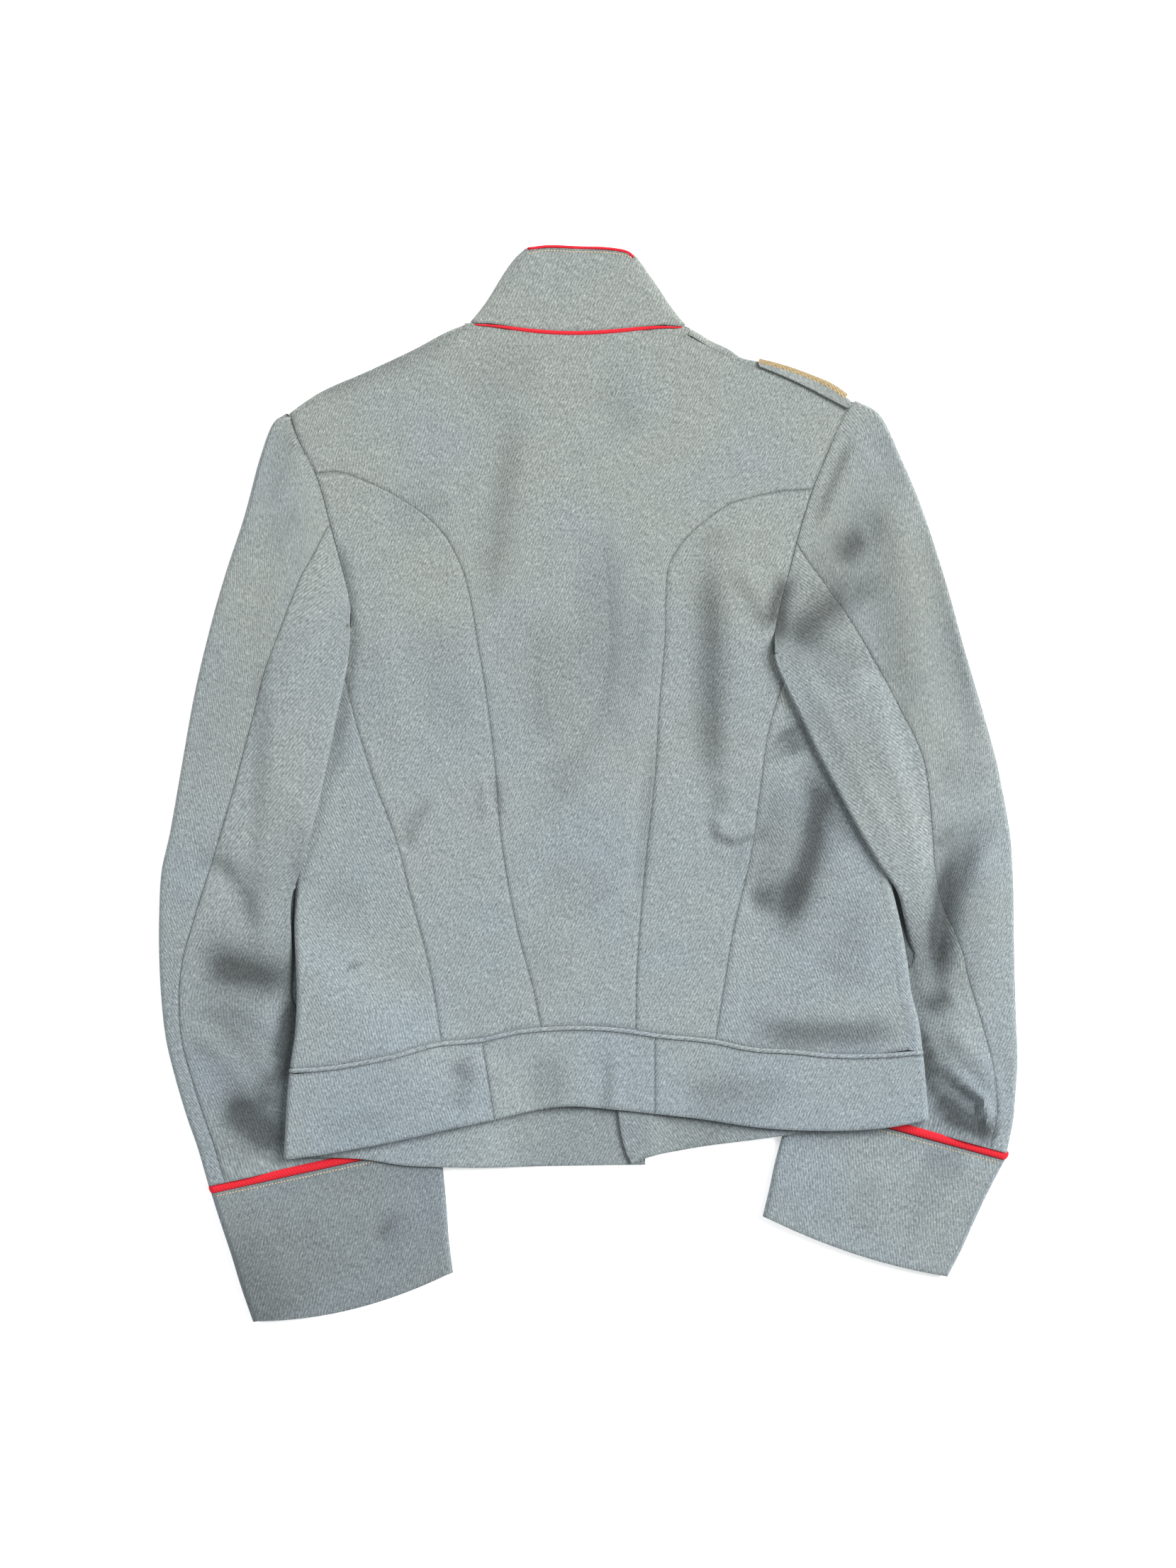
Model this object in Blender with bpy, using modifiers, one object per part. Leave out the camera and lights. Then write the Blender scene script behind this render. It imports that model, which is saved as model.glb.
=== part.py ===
"""Waist-length military uniform jacket, laid flat on its front with its back up.

X runs to the right over the back, Y towards the collar and Z up. The jacket rests on Z = 0.
Sizes in this file are millimetres and become metres when a mesh is made.
"""
from collections import namedtuple
import bmesh
import bpy
import numpy as np

MM = 0.001
WALL = 2.0            # cloth with its backing, pressed
SEAM = 0.2            # each panel stops this far short of the seam line
BACK_TOP = 8.0        # height of the upper layer over the resting face
OVER_BODY = 8.8       # underside of a sleeve where it lies on the body
HIDDEN_TOP = 6.4      # height of a sleeve or cuff that runs under the body
LIFT = 7.2            # underside of the body where it lies on a sleeve
LIFT_RAMP = 35.0      # run over which the body comes back down to rest
LIFT_MARGIN = 14.0    # the lift is full this far beyond the sleeve
FRONT_STEP = 2.5      # the right front lies this far up, on the left front
LAYER_GAP = 0.5       # least gap between two layers of one sheet
FOLD_STEPS = 4        # facets round a folded edge
CALM = (95.0, -125.0) # folds fade beside a sleeve's edge between these heights of y
CALM_RUN = (3.0, 14.0)               # the fade starts this far from that edge and takes this long
FRONT_OVERLAP = (12.0, 70.0, 30.0)   # middle, half width and ramp of the lifted strip over both fronts

# Seams and edges of the back, each from the bottom up, as rows of x, y
PRINCESS_LEFT = ((-33, -174), (-39, -145), (-49, -108), (-62, -36), (-67, 23), (-74, 75), (-79, 104),
                 (-82, 124), (-92, 159), (-103, 178), (-118, 192.5), (-141, 207))
PRINCESS_LEFT_TOP = ((-141, 207), (-156, 214.3), (-179, 221.8), (-193.4, 220.8))
PRINCESS_RIGHT = ((34, -174.6), (34.7, -138), (40.8, -57), (47.3, 1), (51.3, 64), (54.8, 104),
                  (55.3, 135), (58.5, 157.6), (69, 173.7), (85, 188.3), (101.3, 199.6))
PRINCESS_RIGHT_TOP = ((101.3, 199.6), (122.3, 205.2), (146.6, 208.8), (159.6, 209.4))
SIDE_BACK_LEFT = ((-103.6, -183.4), (-113.7, -125.3), (-126.6, -77), (-134.7, -44.5), (-152.4, 4),
                  (-167, 52.4), (-179, 105))
SIDE_BACK_RIGHT = ((90.6, -182.7), (96, -149), (103, -106), (116.7, -46), (123.1, 1), (128.8, 39.5),
                   (144, 87))
EDGE_LEFT = ((-215.7, -265.2), (-211.5, -203), (-207.8, -178), (-206.5, -149), (-207, -130),
             (-208.6, -103), (-208.4, -79), (-206, -28), (-204, 28), (-203, 90))
EDGE_RIGHT = ((241.7, -238), (237.3, -190), (234, -166), (229.5, -149), (227, -130), (222.4, -103),
              (217.5, -80), (209.5, -39.5), (200.5, -6), (192, 28), (184, 70))
SIDE_SEAM_LEFT_IN = (23.0, 6.0)      # hidden side seam, in from the left edge at the hem and armpit
SIDE_SEAM_RIGHT_IN = (10.5, 4.6)     # side seam on the back, in from the right edge

# Armholes on the upper layer, from the shoulder down to where the sleeve laps over the body
ARMHOLE_LEFT = ((-213, 263.7), (-205, 243.4), (-193.4, 220.8), (-188, 204), (-183.1, 184.5),
                (-178.5, 168), (-174.6, 153.2), (-170.2, 135.8), (-168.4, 121.2), (-168.6, 111.8))
ARMHOLE_RIGHT = ((190.1, 273.3), (184, 265.4), (170.5, 236.3), (159.6, 209.4), (153.8, 191.5),
                 (148, 171), (142.8, 150.6), (139.5, 138), (135.6, 122.9), (132.3, 104), (132, 92.2))
# Front armholes on the lower layer, from the shoulder down to the armpit and back to the lap
LOWER_ARMHOLE_LEFT = ((-213, 263.7), (-203, 235), (-198, 200), (-198, 155), (-201, 120), (-203, 90))
LOWER_ARMHOLE_RIGHT = ((190.1, 273.3), (182, 245), (178, 205), (178, 160), (181, 115), (184, 70))

# Shoulders, neck, waist and hems, each from left to right
SHOULDER_LEFT = ((-213, 263.7), (-191.6, 278.7), (-158, 294), (-125.5, 309.2), (-95, 324.4), (-88, 326.8))
SHOULDER_RIGHT = ((73.5, 323.8), (77, 322), (86.8, 316), (98, 311), (112, 305), (122, 303), (138, 299),
                  (159.5, 291.5), (175.7, 284), (190.1, 273.3))
SHOULDER_SEAM_RIGHT = ((71.2, 318.8), (98, 304.5), (119, 296.3), (133.7, 290.5), (154.6, 281), (171, 272.3),
                       (184, 265.4))
NECK_SEAM = ((-83.5, 328), (-58.3, 324.3), (-38.7, 321.7), (-12.9, 320.2), (12.9, 321.1), (38.7, 323.6),
             (69.5, 326))
WAIST_SEAM = ((-211.5, -203), (-187.3, -201.6), (-163, -198), (-139, -193.2), (-108, -185), (-75.8, -182),
              (-50, -176.3), (-25.8, -174), (0, -173.5), (25.6, -175.4), (47.6, -178.7), (91, -183.4),
              (113.7, -188), (147.7, -190), (172, -192.4), (212, -192), (237.3, -189.8))
BACK_HEM = ((-215.7, -265.2), (-190.5, -262.7), (-163, -258), (-137, -253), (-93.6, -243.4), (-66, -237.8),
            (-42, -232.7), (-12.9, -229), (9.5, -230.5), (47.6, -234.4), (83, -238.3), (123.5, -243.3),
            (147.7, -244.9), (210, -243.3), (241.7, -238))
LOWER_WAIST = ((-211.5, -203), (-170, -209), (-100, -213), (40, -213), (150, -206), (237.3, -189.8))
FRONT_HEM_LEFT = ((-215.7, -265.2), (-156.6, -266.7), (-130.7, -270.8), (-104.9, -271.9), (41, -271.4))
FRONT_HEM_RIGHT = ((31.1, -270.7), (42.6, -266), (66.9, -261), (138, -249.8), (164, -246.5), (196, -244.5),
                   (241.7, -238))
BAND_SEAM_LEFT = ((-66, -237.8), (-75.4, -182))
BAND_SEAM_RIGHT = ((47.6, -234.4), (47.6, -178.7))
FRONT_EDGE_LEFT = ((41, -271.4), (39, -213), (2.5, 238))
FRONT_EDGE_RIGHT = ((31.1, -270.7), (28, -264), (21.5, -234), (19.5, -213), (-16.5, 238))

# Collar
NECK_MIDDLE = -7.0
FRONT_NECK = 238.0                   # y of the front neckline in the middle
COLLAR_HEIGHT = 58.0
COLLAR_FOLD_LEFT = ((-83.5, 328), (-73.6, 341), (-51.6, 374.7), (-45, 381))
COLLAR_FOLD_RIGHT = ((69.5, 326), (64.6, 332), (49, 355.4), (34.5, 375.5))
COLLAR_TOP = ((-45, 381), (-36, 383.2), (-6.4, 383.1), (19.4, 381.8), (28.5, 379.9), (34.5, 375.5))

# Piping: width over the cloth, height, and how far it stands proud
Piping = namedtuple("Piping", "width height proud")
WAIST_PIPING = Piping(3.5, 3.0, 0.9)
COLLAR_PIPING = Piping(2.8, 2.2, 0.5)
CUFF_PIPING = Piping(5.0, 2.4, 0.5)

# The largest folds: height (a trough is below zero), width, and the route along the fold
BODY_FOLDS = (
    (-1.8, 14, ((-53, 254), (-62, 196), (-67, 123))),
    (-1.8, 20, ((-28, 134), (-28, 56), (-39, -45))),
    (-1.8, 16, ((20, 134), (22, 56), (-6, 5), (-36, -42))),
    (2.5, 14, ((50, 123), (48, 56), (45, 22))),
    (-3.2, 14, ((90, 173), (91, 78), (95, -23))),
    (2.5, 10, ((79, 150), (79, 60), (82, -10))),
    (3.0, 10, ((84, -28), (98, -45), (112, -42))),
    (2.6, 14, ((134, 42), (143, -10), (143, -34))),
    (-3.4, 22, ((168, -10), (164, -40), (151, -73), (132, -109))),
    (3.2, 24, ((180, -60), (162, -101), (140, -123))),
    (-2.6, 14, ((112, -178), (218, -178))),
    (-2.0, 9, ((-132, -48), (-115, -23))),
    (1.5, 8, ((-73, 0), (-66, -34))),
    (-1.6, 12, ((-34, -184), (-30, -226))),
    (1.8, 12, ((-17, -182), (-14, -224))),
)
LEFT_SLEEVE_FOLDS = (
    (-1.5, 14, ((-286, -56), (-258, -53), (-244, -84))),
    (-3.6, 14, ((-283, -121), (-252, -126), (-222, -137))),
    (-2.0, 12, ((-283, -163), (-252, -185), (-228, -205))),
    (-3.2, 14, ((-269, -219), (-246, -235), (-226, -252))),
    (2.0, 18, ((-296, -140), (-262, -152), (-232, -170))),
)
RIGHT_SLEEVE_FOLDS = (
    (-3.0, 14, ((204, 182), (188, 157), (168, 128))),
    (-2.4, 12, ((216, 140), (188, 129), (163, 113))),
    (3.2, 18, ((202, 235), (216, 168), (232, 78), (252, 22))),
    (-2.6, 16, ((226, 205), (246, 134), (269, 56))),
    (-3.8, 16, ((288, -17), (266, -45), (256, -95), (256, -151))),
    (2.6, 14, ((296, -60), (280, -110), (272, -170))),
    (-2.4, 12, ((262, -185), (276, -212), (292, -230))),
)

# Sleeves: silhouette outside and inside, and the hind-arm seam as a share of the width
Station = namedtuple("Station", "outer_x outer_y inner_x inner_y hind")
LEFT_STATIONS = (
    Station(-213.0, 263.7, -168.6, 111.8, 0.57), Station(-224.1, 256.9, -168.6, 104, 0.57),
    Station(-234.2, 230.2, -169.5, 93, 0.54), Station(-244.8, 190.2, -171, 81, 0.48),
    Station(-257.7, 151, -174.2, 66, 0.46), Station(-268.9, 111.8, -179.8, 39.5, 0.43),
    Station(-280.1, 64.2, -186.3, 7, 0.415), Station(-289.6, 11, -194.4, -28, 0.383),
    Station(-297.5, -34, -202.5, -57, 0.346), Station(-303.6, -62, -210, -81.5, 0.328),
    Station(-305.3, -92.7, -210.6, -106.7, 0.247), Station(-305.3, -123.5, -209.4, -134, 0.153),
    Station(-303.6, -154.3, -208.4, -155, 0.104), Station(-300.3, -182.3, -190.5, -181, 0.075),
    Station(-293.5, -210.3, -162.5, -203, 0.065), Station(-285.1, -238.3, -134.4, -227, 0.06),
    Station(-277.5, -260.0, -119.0, -240.5, 0.055), Station(-269.5, -288.5, -105.9, -252, 0.055),
)
RIGHT_STATIONS = (
    Station(190.1, 273.3, 132.0, 92.2, 0.603), Station(208.4, 261.9, 134.4, 82, 0.613),
    Station(224.1, 229.4, 141.7, 65, 0.582), Station(240.9, 187.4, 152.9, 42, 0.543),
    Station(254.9, 145.4, 164.4, 18, 0.51), Station(266.7, 103.4, 178.9, -9, 0.475),
    Station(280.1, 55.8, 191.8, -33, 0.449), Station(292.4, 8.2, 206.4, -57.4, 0.555),
    Station(300.3, -34, 218.5, -75.3, 0.656), Station(302.5, -67.5, 223.8, -93, 0.649),
    Station(303.1, -95.5, 227.5, -112, 0.576), Station(303.6, -126.3, 229.5, -126.3, 0.483),
    Station(304.7, -162.7, 210.1, -149, 0.272), Station(305.9, -196.3, 187.7, -177, 0.138),
    Station(304.2, -224.3, 168.1, -199, 0.075), Station(302.5, -241.1, 156.9, -212, 0.06),
    Station(297.5, -265.0, 147.3, -223.2, 0.06),
)
# Cuffs: silhouette outside and inside, and how far the row bows towards the hem
CuffRow = namedtuple("CuffRow", "outer_x outer_y inner_x inner_y bow")
LEFT_CUFF = (CuffRow(-269.3, -288.5, -105.9, -252, 0), CuffRow(-262, -311, -102.8, -278, 2),
             CuffRow(-254, -335, -100.5, -302, 4), CuffRow(-247, -358, -98.8, -325, 7),
             CuffRow(-238.5, -382.5, -96, -347.5, 8))
RIGHT_CUFF = (CuffRow(298.5, -265, 147.3, -223.2, 0), CuffRow(286, -288, 139, -248, 2),
              CuffRow(275.5, -310, 133, -270, 3), CuffRow(266, -331, 129, -288, 4),
              CuffRow(256, -350.5, 124.3, -307.5, 5))
CUFF_WALL = 2.4
CUFF_TOP = 8.2

# How the sleeves lie: on the body near the armpit, flat on the table beside it, then under its hem
OVER_SIDE = (36.0, 18.0)             # the lap reaches this far outside the body's edge, and its ramp
OVER_LAP = (17.0, 13.0)              # the same across the armhole's lowest stretch
OVER_RISE = 5.6                      # the top layer rises this much where a sleeve lies on the body
FREE_SLEEVE = (6.0, 22.0)            # outside the body's edge the sleeve is free from here, and its ramp
FREE_RISE = 1.8
BARE_RAMP = 40.0                     # run over which a sleeve goes from lying bare to lying under the body
SLEEVE_PLUMP = 2.2                   # rise of a sleeve's middle over its edges
SLEEVE_GAP = 0.6

STRAP_RISE = 2.4                     # the shoulder strap wraps over the fold of the right shoulder
STRAP_WALL = 1.8
STRAP_UNDER = 38.0
STRAP = (122.0, 185.0)               # x of its two ends
STRAP_LINE = ((121.0, 303.0), (190.0, 275.0))
STRAP_EASE = (68.0, 22.0)            # how far in from that line the front rises for the strap, and its ramp
STRAP_START = (14.0, 11.0)           # the rise starts this far before the strap, and its ramp
FRONT_LAP = (22.0, 20.0)             # the right front comes down this far past the left's edge, and its ramp

Side = namedtuple("Side", "name sign stations armhole hind lower_armhole edge lap armpit cross cuff folds")
LEFT = Side("left", -1, LEFT_STATIONS, ARMHOLE_LEFT, 4, LOWER_ARMHOLE_LEFT, EDGE_LEFT, (-168.6, 111.8),
            (-203, 90), (-140, -80), LEFT_CUFF, LEFT_SLEEVE_FOLDS)
RIGHT = Side("right", 1, RIGHT_STATIONS, ARMHOLE_RIGHT, 5, LOWER_ARMHOLE_RIGHT, EDGE_RIGHT, (132, 92.2),
             (184, 70), (-122, -74), RIGHT_CUFF, RIGHT_SLEEVE_FOLDS)
UNDER_LEFT = ((-208, -158), (-105.7, -250), -100.0)    # a sleeve's inner edge under the body, cuff edge
UNDER_RIGHT = ((228, -126), (147.3, -223.2), 141.0)


# Curves

def ease(t):
    t = np.clip(t, 0, 1)
    return t * t * (3 - 2 * t)


def smooth(knots, values, at):
    """Cubic curve through values at rising knots."""
    knots = np.asarray(knots, float)
    values = np.asarray(values, float)
    slopes = np.gradient(values, knots)
    at = np.clip(at, knots[0], knots[-1])
    i = np.clip(np.searchsorted(knots, at) - 1, 0, len(knots) - 2)
    span = knots[i + 1] - knots[i]
    t = (at - knots[i]) / span
    return (values[i] * (1 + 2 * t) * (1 - t) ** 2 + slopes[i] * span * t * (1 - t) ** 2
            + values[i + 1] * t * t * (3 - 2 * t) + slopes[i + 1] * span * t * t * (t - 1))


def x_at(curve, y):
    points = sorted(curve, key=lambda p: p[1])
    return smooth([p[1] for p in points], [p[0] for p in points], np.asarray(y, float))


def y_at(curve, x):
    return smooth([p[0] for p in curve], [p[1] for p in curve], np.asarray(x, float))


def along(curve, shares):
    """Points at the given shares of a curve's length."""
    points = np.asarray(curve, float)
    run = np.concatenate([[0], np.cumsum(np.linalg.norm(np.diff(points, axis=0), axis=1))])
    at = np.asarray(shares, float) * run[-1]
    return np.stack([smooth(run, points[:, 0], at), smooth(run, points[:, 1], at)], axis=1)


def steps(count):
    return np.linspace(0, 1, count + 1)


def by_y(curve, low, high, count):
    y = np.linspace(low, high, count + 1)
    return np.stack([x_at(curve, y), y], axis=1)


def by_x(curve, low, high, count):
    x = np.linspace(low, high, count + 1)
    return np.stack([x, y_at(curve, x)], axis=1)


def outward(points, sign):
    """Level unit normals of an edge, to the left of its run for sign 1."""
    run = np.gradient(np.asarray(points, float), axis=0)
    normal = np.stack([-run[:, 1], run[:, 0]], axis=1) * sign
    return normal / np.linalg.norm(normal, axis=1, keepdims=True)


def shares_of(curve):
    run = np.cumsum(np.linalg.norm(np.diff(curve, axis=0), axis=1))
    return np.concatenate([[0], run / run[-1]])


def patch(low, high, left, right):
    """A net of points between four edges that share their corners."""
    u = (shares_of(low) + shares_of(high))[None, :, None] / 2
    v = (shares_of(left) + shares_of(right))[:, None, None] / 2
    sides = (1 - u) * left[:, None] + u * right[:, None]
    ends = (1 - v) * low[None] + v * high[None]
    corners = ((1 - v) * ((1 - u) * low[0] + u * low[-1]) + v * ((1 - u) * high[0] + u * high[-1]))
    return sides + ends - corners


# Heights of the layers

def off_line(x, y, start, end):
    """Distance to the left of a line."""
    dx = end[0] - start[0]
    dy = end[1] - start[1]
    return ((y - start[1]) * dx - (x - start[0]) * dy) / np.hypot(dx, dy)


def relief(folds, x, y):
    total = np.zeros_like(x)
    for height, width, route in folds:
        nearest = np.full_like(x, 1e9)
        for a, b in zip(route, route[1:]):
            dx = b[0] - a[0]
            dy = b[1] - a[1]
            t = np.clip(((x - a[0]) * dx + (y - a[1]) * dy) / (dx * dx + dy * dy), 0, 1)
            nearest = np.minimum(nearest, np.hypot(x - a[0] - t * dx, y - a[1] - t * dy))
        total += height * np.exp(-(nearest / (0.6 * width)) ** 2)
    return total


def body_lift(x, y):
    """How far the body lies up on the sleeves and cuffs that run under it."""
    start, end, cuff_edge = UNDER_LEFT
    left = np.maximum(off_line(x, y, start, end), x - cuff_edge)
    start, end, cuff_edge = UNDER_RIGHT
    right = np.maximum(-off_line(x, y, start, end), cuff_edge - x)
    return LIFT * ease((LIFT_RAMP + LIFT_MARGIN - np.minimum(left, right)) / LIFT_RAMP)


def sleeve_edge(side, y):
    stations = side.stations[::-1]
    return smooth([s.inner_y for s in stations], [s.inner_x for s in stations], y)


def back_height(x, y):
    start, run = CALM_RUN
    clear = np.minimum(ease((x - sleeve_edge(LEFT, y) - start) / run),
                       ease((sleeve_edge(RIGHT, y) - start - x) / run))
    clear = np.where((y > CALM[0]) | (y < CALM[1]), 1, clear)
    z = BACK_TOP + relief(BODY_FOLDS, x, y) * clear
    middle, half, ramp = FRONT_OVERLAP
    least = 2 * WALL + LAYER_GAP + FRONT_STEP * ease((half - np.abs(x - middle)) / ramp)
    return np.maximum(z, least) + body_lift(x, y)


def front_height(x, y):
    return body_lift(x, y)


def right_front_height(x, y):
    far, ramp = FRONT_LAP
    lap = FRONT_STEP * ease((x_at(FRONT_EDGE_LEFT, y) + far - x) / ramp)
    start, end = STRAP_LINE
    far, ramp = STRAP_EASE
    inside = ease((far + off_line(x, y, start, end)) / ramp)
    reach = np.hypot(end[0] - start[0], end[1] - start[1])
    run = ((x - start[0]) * (end[0] - start[0]) + (y - start[1]) * (end[1] - start[1])) / reach
    before, ramp = STRAP_START
    strap = STRAP_RISE * inside * ease((run + before) / ramp)
    return body_lift(x, y) + np.maximum(lap, strap)


def over_body(side, x, y):
    """1 where the sleeve lies on the body, 0 clear of it."""
    beyond = side.sign * (x - x_at(side.edge, y))
    above = side.sign * -off_line(x, y, side.armpit, side.lap)
    low, high = side.cross
    on_side = ease((OVER_SIDE[0] - beyond) / OVER_SIDE[1])
    on_lap = ease((OVER_LAP[0] - above) / OVER_LAP[1])
    return on_side * on_lap * ease((y - low) / (high - low))


def sleeve_height(side, x, y, share, row):
    over = over_body(side, x, y)
    edge = x_at(side.edge, np.maximum(y, side.edge[0][1]))
    free = ease((side.sign * (x - edge) - FREE_SLEEVE[0]) / FREE_SLEEVE[1])
    bare = ease((y - side.cross[0]) / BARE_RAMP + 0.5)
    open_cloth = np.maximum(bare, free)
    rest = BACK_TOP * bare + (HIDDEN_TOP + FREE_RISE * free) * (1 - bare)
    plump = 4 * SLEEVE_PLUMP * share * (1 - share) * ease(row / 3) * (1 - 0.7 * over) * open_cloth
    z = rest + plump + OVER_RISE * over + relief(side.folds, x, y) * open_cloth * ease(row / 1.5)
    return np.maximum(z, OVER_BODY * over + 2 * WALL + SLEEVE_GAP)


def sleeve_under(side, x, y):
    return OVER_BODY * over_body(side, x, y)


# Cloth

def place(net, height):
    z = height(net[..., 0], net[..., 1])
    return np.concatenate([net, z[..., None]], axis=-1)


def draw_in(net, rows=(SEAM, SEAM), cols=(SEAM, SEAM)):
    """Stop a net short of the seams at its first and last rows and columns."""
    net = net.copy()
    for axis, (first, last) in ((0, rows), (1, cols)):
        work = np.moveaxis(net, axis, 0)
        for end, near, gap in ((0, 1, first), (-1, -2, last)):
            step = work[near] - work[end]
            work[end] += gap * step / np.maximum(np.linalg.norm(step, axis=-1, keepdims=True), 1e-6)
    return net


def fold(upper, lower, out, count=FOLD_STEPS):
    """Points round a folded edge, between one on the upper layer and one right under it."""
    middle = (upper[..., 2] + lower[..., 2]) / 2
    radius = (upper[..., 2] - lower[..., 2]) / 2
    turn = []
    for k in range(1, count):
        angle = np.pi * k / count
        level = upper[..., :2] + out * (radius * np.sin(angle))[..., None]
        turn.append(np.concatenate([level, (middle + radius * np.cos(angle))[..., None]], axis=-1))
    return np.stack(turn, axis=1)


def inset(edge, out, upper, lower):
    """Where the flat layers end inside a folded edge."""
    radius = (upper(edge[:, 0], edge[:, 1]) - lower(edge[:, 0], edge[:, 1])) / 2
    return edge - out * radius[:, None]


def material(name, rgb, roughness):
    found = bpy.data.materials.get(name) or bpy.data.materials.new(name)
    found.use_nodes = True
    shader = found.node_tree.nodes["Principled BSDF"]
    shader.inputs["Base Color"].default_value = (*rgb, 1)
    shader.inputs["Roughness"].default_value = roughness
    shader.inputs["Metallic"].default_value = 0.0
    return found


def cloth(name, nets, wall=WALL, flip=False, ring=False, rgb=(0.33, 0.39, 0.42)):
    """One sheet of cloth from nets of points that meet, thickened inwards."""
    mesh = bpy.data.meshes.new(name)
    sheet = bmesh.new()
    for net in nets:
        rows, cols = net.shape[:2]
        grid = [[sheet.verts.new(net[i, j] * MM) for j in range(cols)] for i in range(rows)]
        for i in range(rows - 1):
            for j in range(cols if ring else cols - 1):
                k = (j + 1) % cols
                corners = [grid[i][j], grid[i][k], grid[i + 1][k], grid[i + 1][j]]
                sheet.faces.new(corners[::-1] if flip else corners)
    bmesh.ops.remove_doubles(sheet, verts=sheet.verts, dist=1e-6)
    sheet.to_mesh(mesh)
    sheet.free()
    mesh.shade_smooth()
    piece = bpy.data.objects.new(name, mesh)
    piece.data.materials.append(material(name + "_cloth", rgb, 0.9))
    thicken = piece.modifiers.new("thickness", "SOLIDIFY")
    thicken.thickness = wall * MM
    thicken.offset = -1
    jacket.objects.link(piece)
    return piece


def cord(name, centres, across, up, piping, closed, rgb):
    """A flat piping: an ellipse swept along its seam."""
    sides = 6
    mesh = bpy.data.meshes.new(name)
    tube = bmesh.new()
    rings = []
    for centre, side, lift in zip(centres, across, up):
        ring = []
        for k in range(sides):
            angle = 2 * np.pi * k / sides
            point = (centre + side * piping.width / 2 * np.cos(angle) + lift * piping.height / 2 * np.sin(angle))
            ring.append(tube.verts.new(point * MM))
        rings.append(ring)
    pairs = list(zip(rings, rings[1:]))
    if closed:
        pairs.append((rings[-1], rings[0]))
    for a, b in pairs:
        for k in range(sides):
            tube.faces.new((a[k], a[(k + 1) % sides], b[(k + 1) % sides], b[k]))
    if not closed:
        tube.faces.new(rings[0][::-1])
        tube.faces.new(rings[-1])
    bmesh.ops.recalc_face_normals(tube, faces=tube.faces)
    tube.to_mesh(mesh)
    tube.free()
    mesh.shade_smooth()
    piece = bpy.data.objects.new(name, mesh)
    piece.data.materials.append(material(name + "_cord", rgb, 0.6))
    jacket.objects.link(piece)
    return piece


def sweep(name, route, normals, piping, closed=False, rgb=(0.75, 0.03, 0.05)):
    """Piping along a route on the outer face of the cloth, whose outward normals are given."""
    run = np.gradient(route, axis=0)
    if closed:
        run[0] = route[1] - route[-1]
        run[-1] = route[0] - route[-2]
    run /= np.linalg.norm(run, axis=1, keepdims=True)
    across = np.cross(run, normals)
    across /= np.linalg.norm(across, axis=1, keepdims=True)
    up = np.cross(across, run)
    proud = piping.proud * (1 + normals[:, 2:]) / 2
    centres = route - normals * (piping.height / 2 - proud)
    centres[:, 2] = np.maximum(centres[:, 2], piping.height / 2)
    return cord(name, centres, across, up, piping, closed, rgb)


def flat_normals(count, up):
    return np.tile([0.0, 0.0, 1.0 if up else -1.0], (count, 1))


def turn_over(top, low, out, count):
    """Route and normals round a folded edge from a point above to one below."""
    middle = (top[2] + low[2]) / 2
    radius = (top[2] - low[2]) / 2
    points = []
    normals = []
    for k in range(1, count):
        angle = np.pi * k / count
        normal = np.array([out[0] * np.sin(angle), out[1] * np.sin(angle), np.cos(angle)])
        points.append(np.array([top[0], top[1], middle]) + normal * radius)
        normals.append(normal)
    return np.array(points), np.array(normals)


# Back and sides

TORSO_ROWS = 11
YOKE_ROWS = 8
SIDE_COLS = 6
TIP_OUT = {"left": np.array([-0.55, 0.835]), "right": np.array([0.57, 0.822])}
WAIST_GROOVE = WAIST_PIPING.width / 2 + 0.35
NECK_GROOVE = COLLAR_PIPING.width / 2 + 0.6
SHOULDER_TUCK = 2.0                  # the back reaches this far under at the left shoulder


def waist_y(x):
    return y_at(WAIST_SEAM, x) + WAIST_GROOVE


def princess(side):
    lower = PRINCESS_LEFT if side is LEFT else PRINCESS_RIGHT
    start = float(waist_y(lower[0][0]))
    torso = by_y(lower, start, side.lap[1] - 6, TORSO_ROWS)
    yoke = by_y(lower, side.lap[1] - 6, lower[-1][1], YOKE_ROWS)
    return np.concatenate([torso, yoke[1:]])


def princess_top(side):
    return along(PRINCESS_LEFT_TOP if side is LEFT else PRINCESS_RIGHT_TOP, steps(SIDE_COLS))


def side_back(side):
    seam = SIDE_BACK_LEFT if side is LEFT else SIDE_BACK_RIGHT
    return by_y(seam, float(waist_y(seam[0][0])), seam[-1][1], TORSO_ROWS)


def armhole_up(side):
    """Armhole points from the lap up to the princess seam."""
    first = 2 if side is LEFT else 3
    return np.asarray(side.armhole[first:], float)[::-1]


def build_back_side(side):
    outer = np.concatenate([side_back(side), armhole_up(side)])
    inner = princess(side)
    low = by_x(WAIST_SEAM, outer[0, 0], inner[0, 0], SIDE_COLS)
    low[:, 1] += WAIST_GROOVE
    high = princess_top(side)[::-1]
    if side is LEFT:
        net = patch(low, high, outer, inner)
    else:
        net = patch(low[::-1], high[::-1], inner, outer)
    net = draw_in(net, rows=(0, SEAM))
    cloth("back_side_" + side.name, [place(net, back_height)])


def side_edge(side):
    low = float(waist_y(x_at(side.edge, -201 if side is LEFT else -188)))
    return by_y(side.edge, low, side.armpit[1], TORSO_ROWS)


def side_seam_right(edge, inside):
    tuck = np.maximum(np.linspace(*SIDE_SEAM_RIGHT_IN, len(edge)), edge[:, 0] - inside[:, 0] + 0.6)
    return edge - np.stack([tuck, 0 * tuck], axis=1)


def side_seam_left(edge, inside):
    reach = np.maximum(np.linspace(*SIDE_SEAM_LEFT_IN, len(edge)), inside[:, 0] - edge[:, 0] + 1.5)
    return edge + np.stack([reach, 0 * reach], axis=1)


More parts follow.
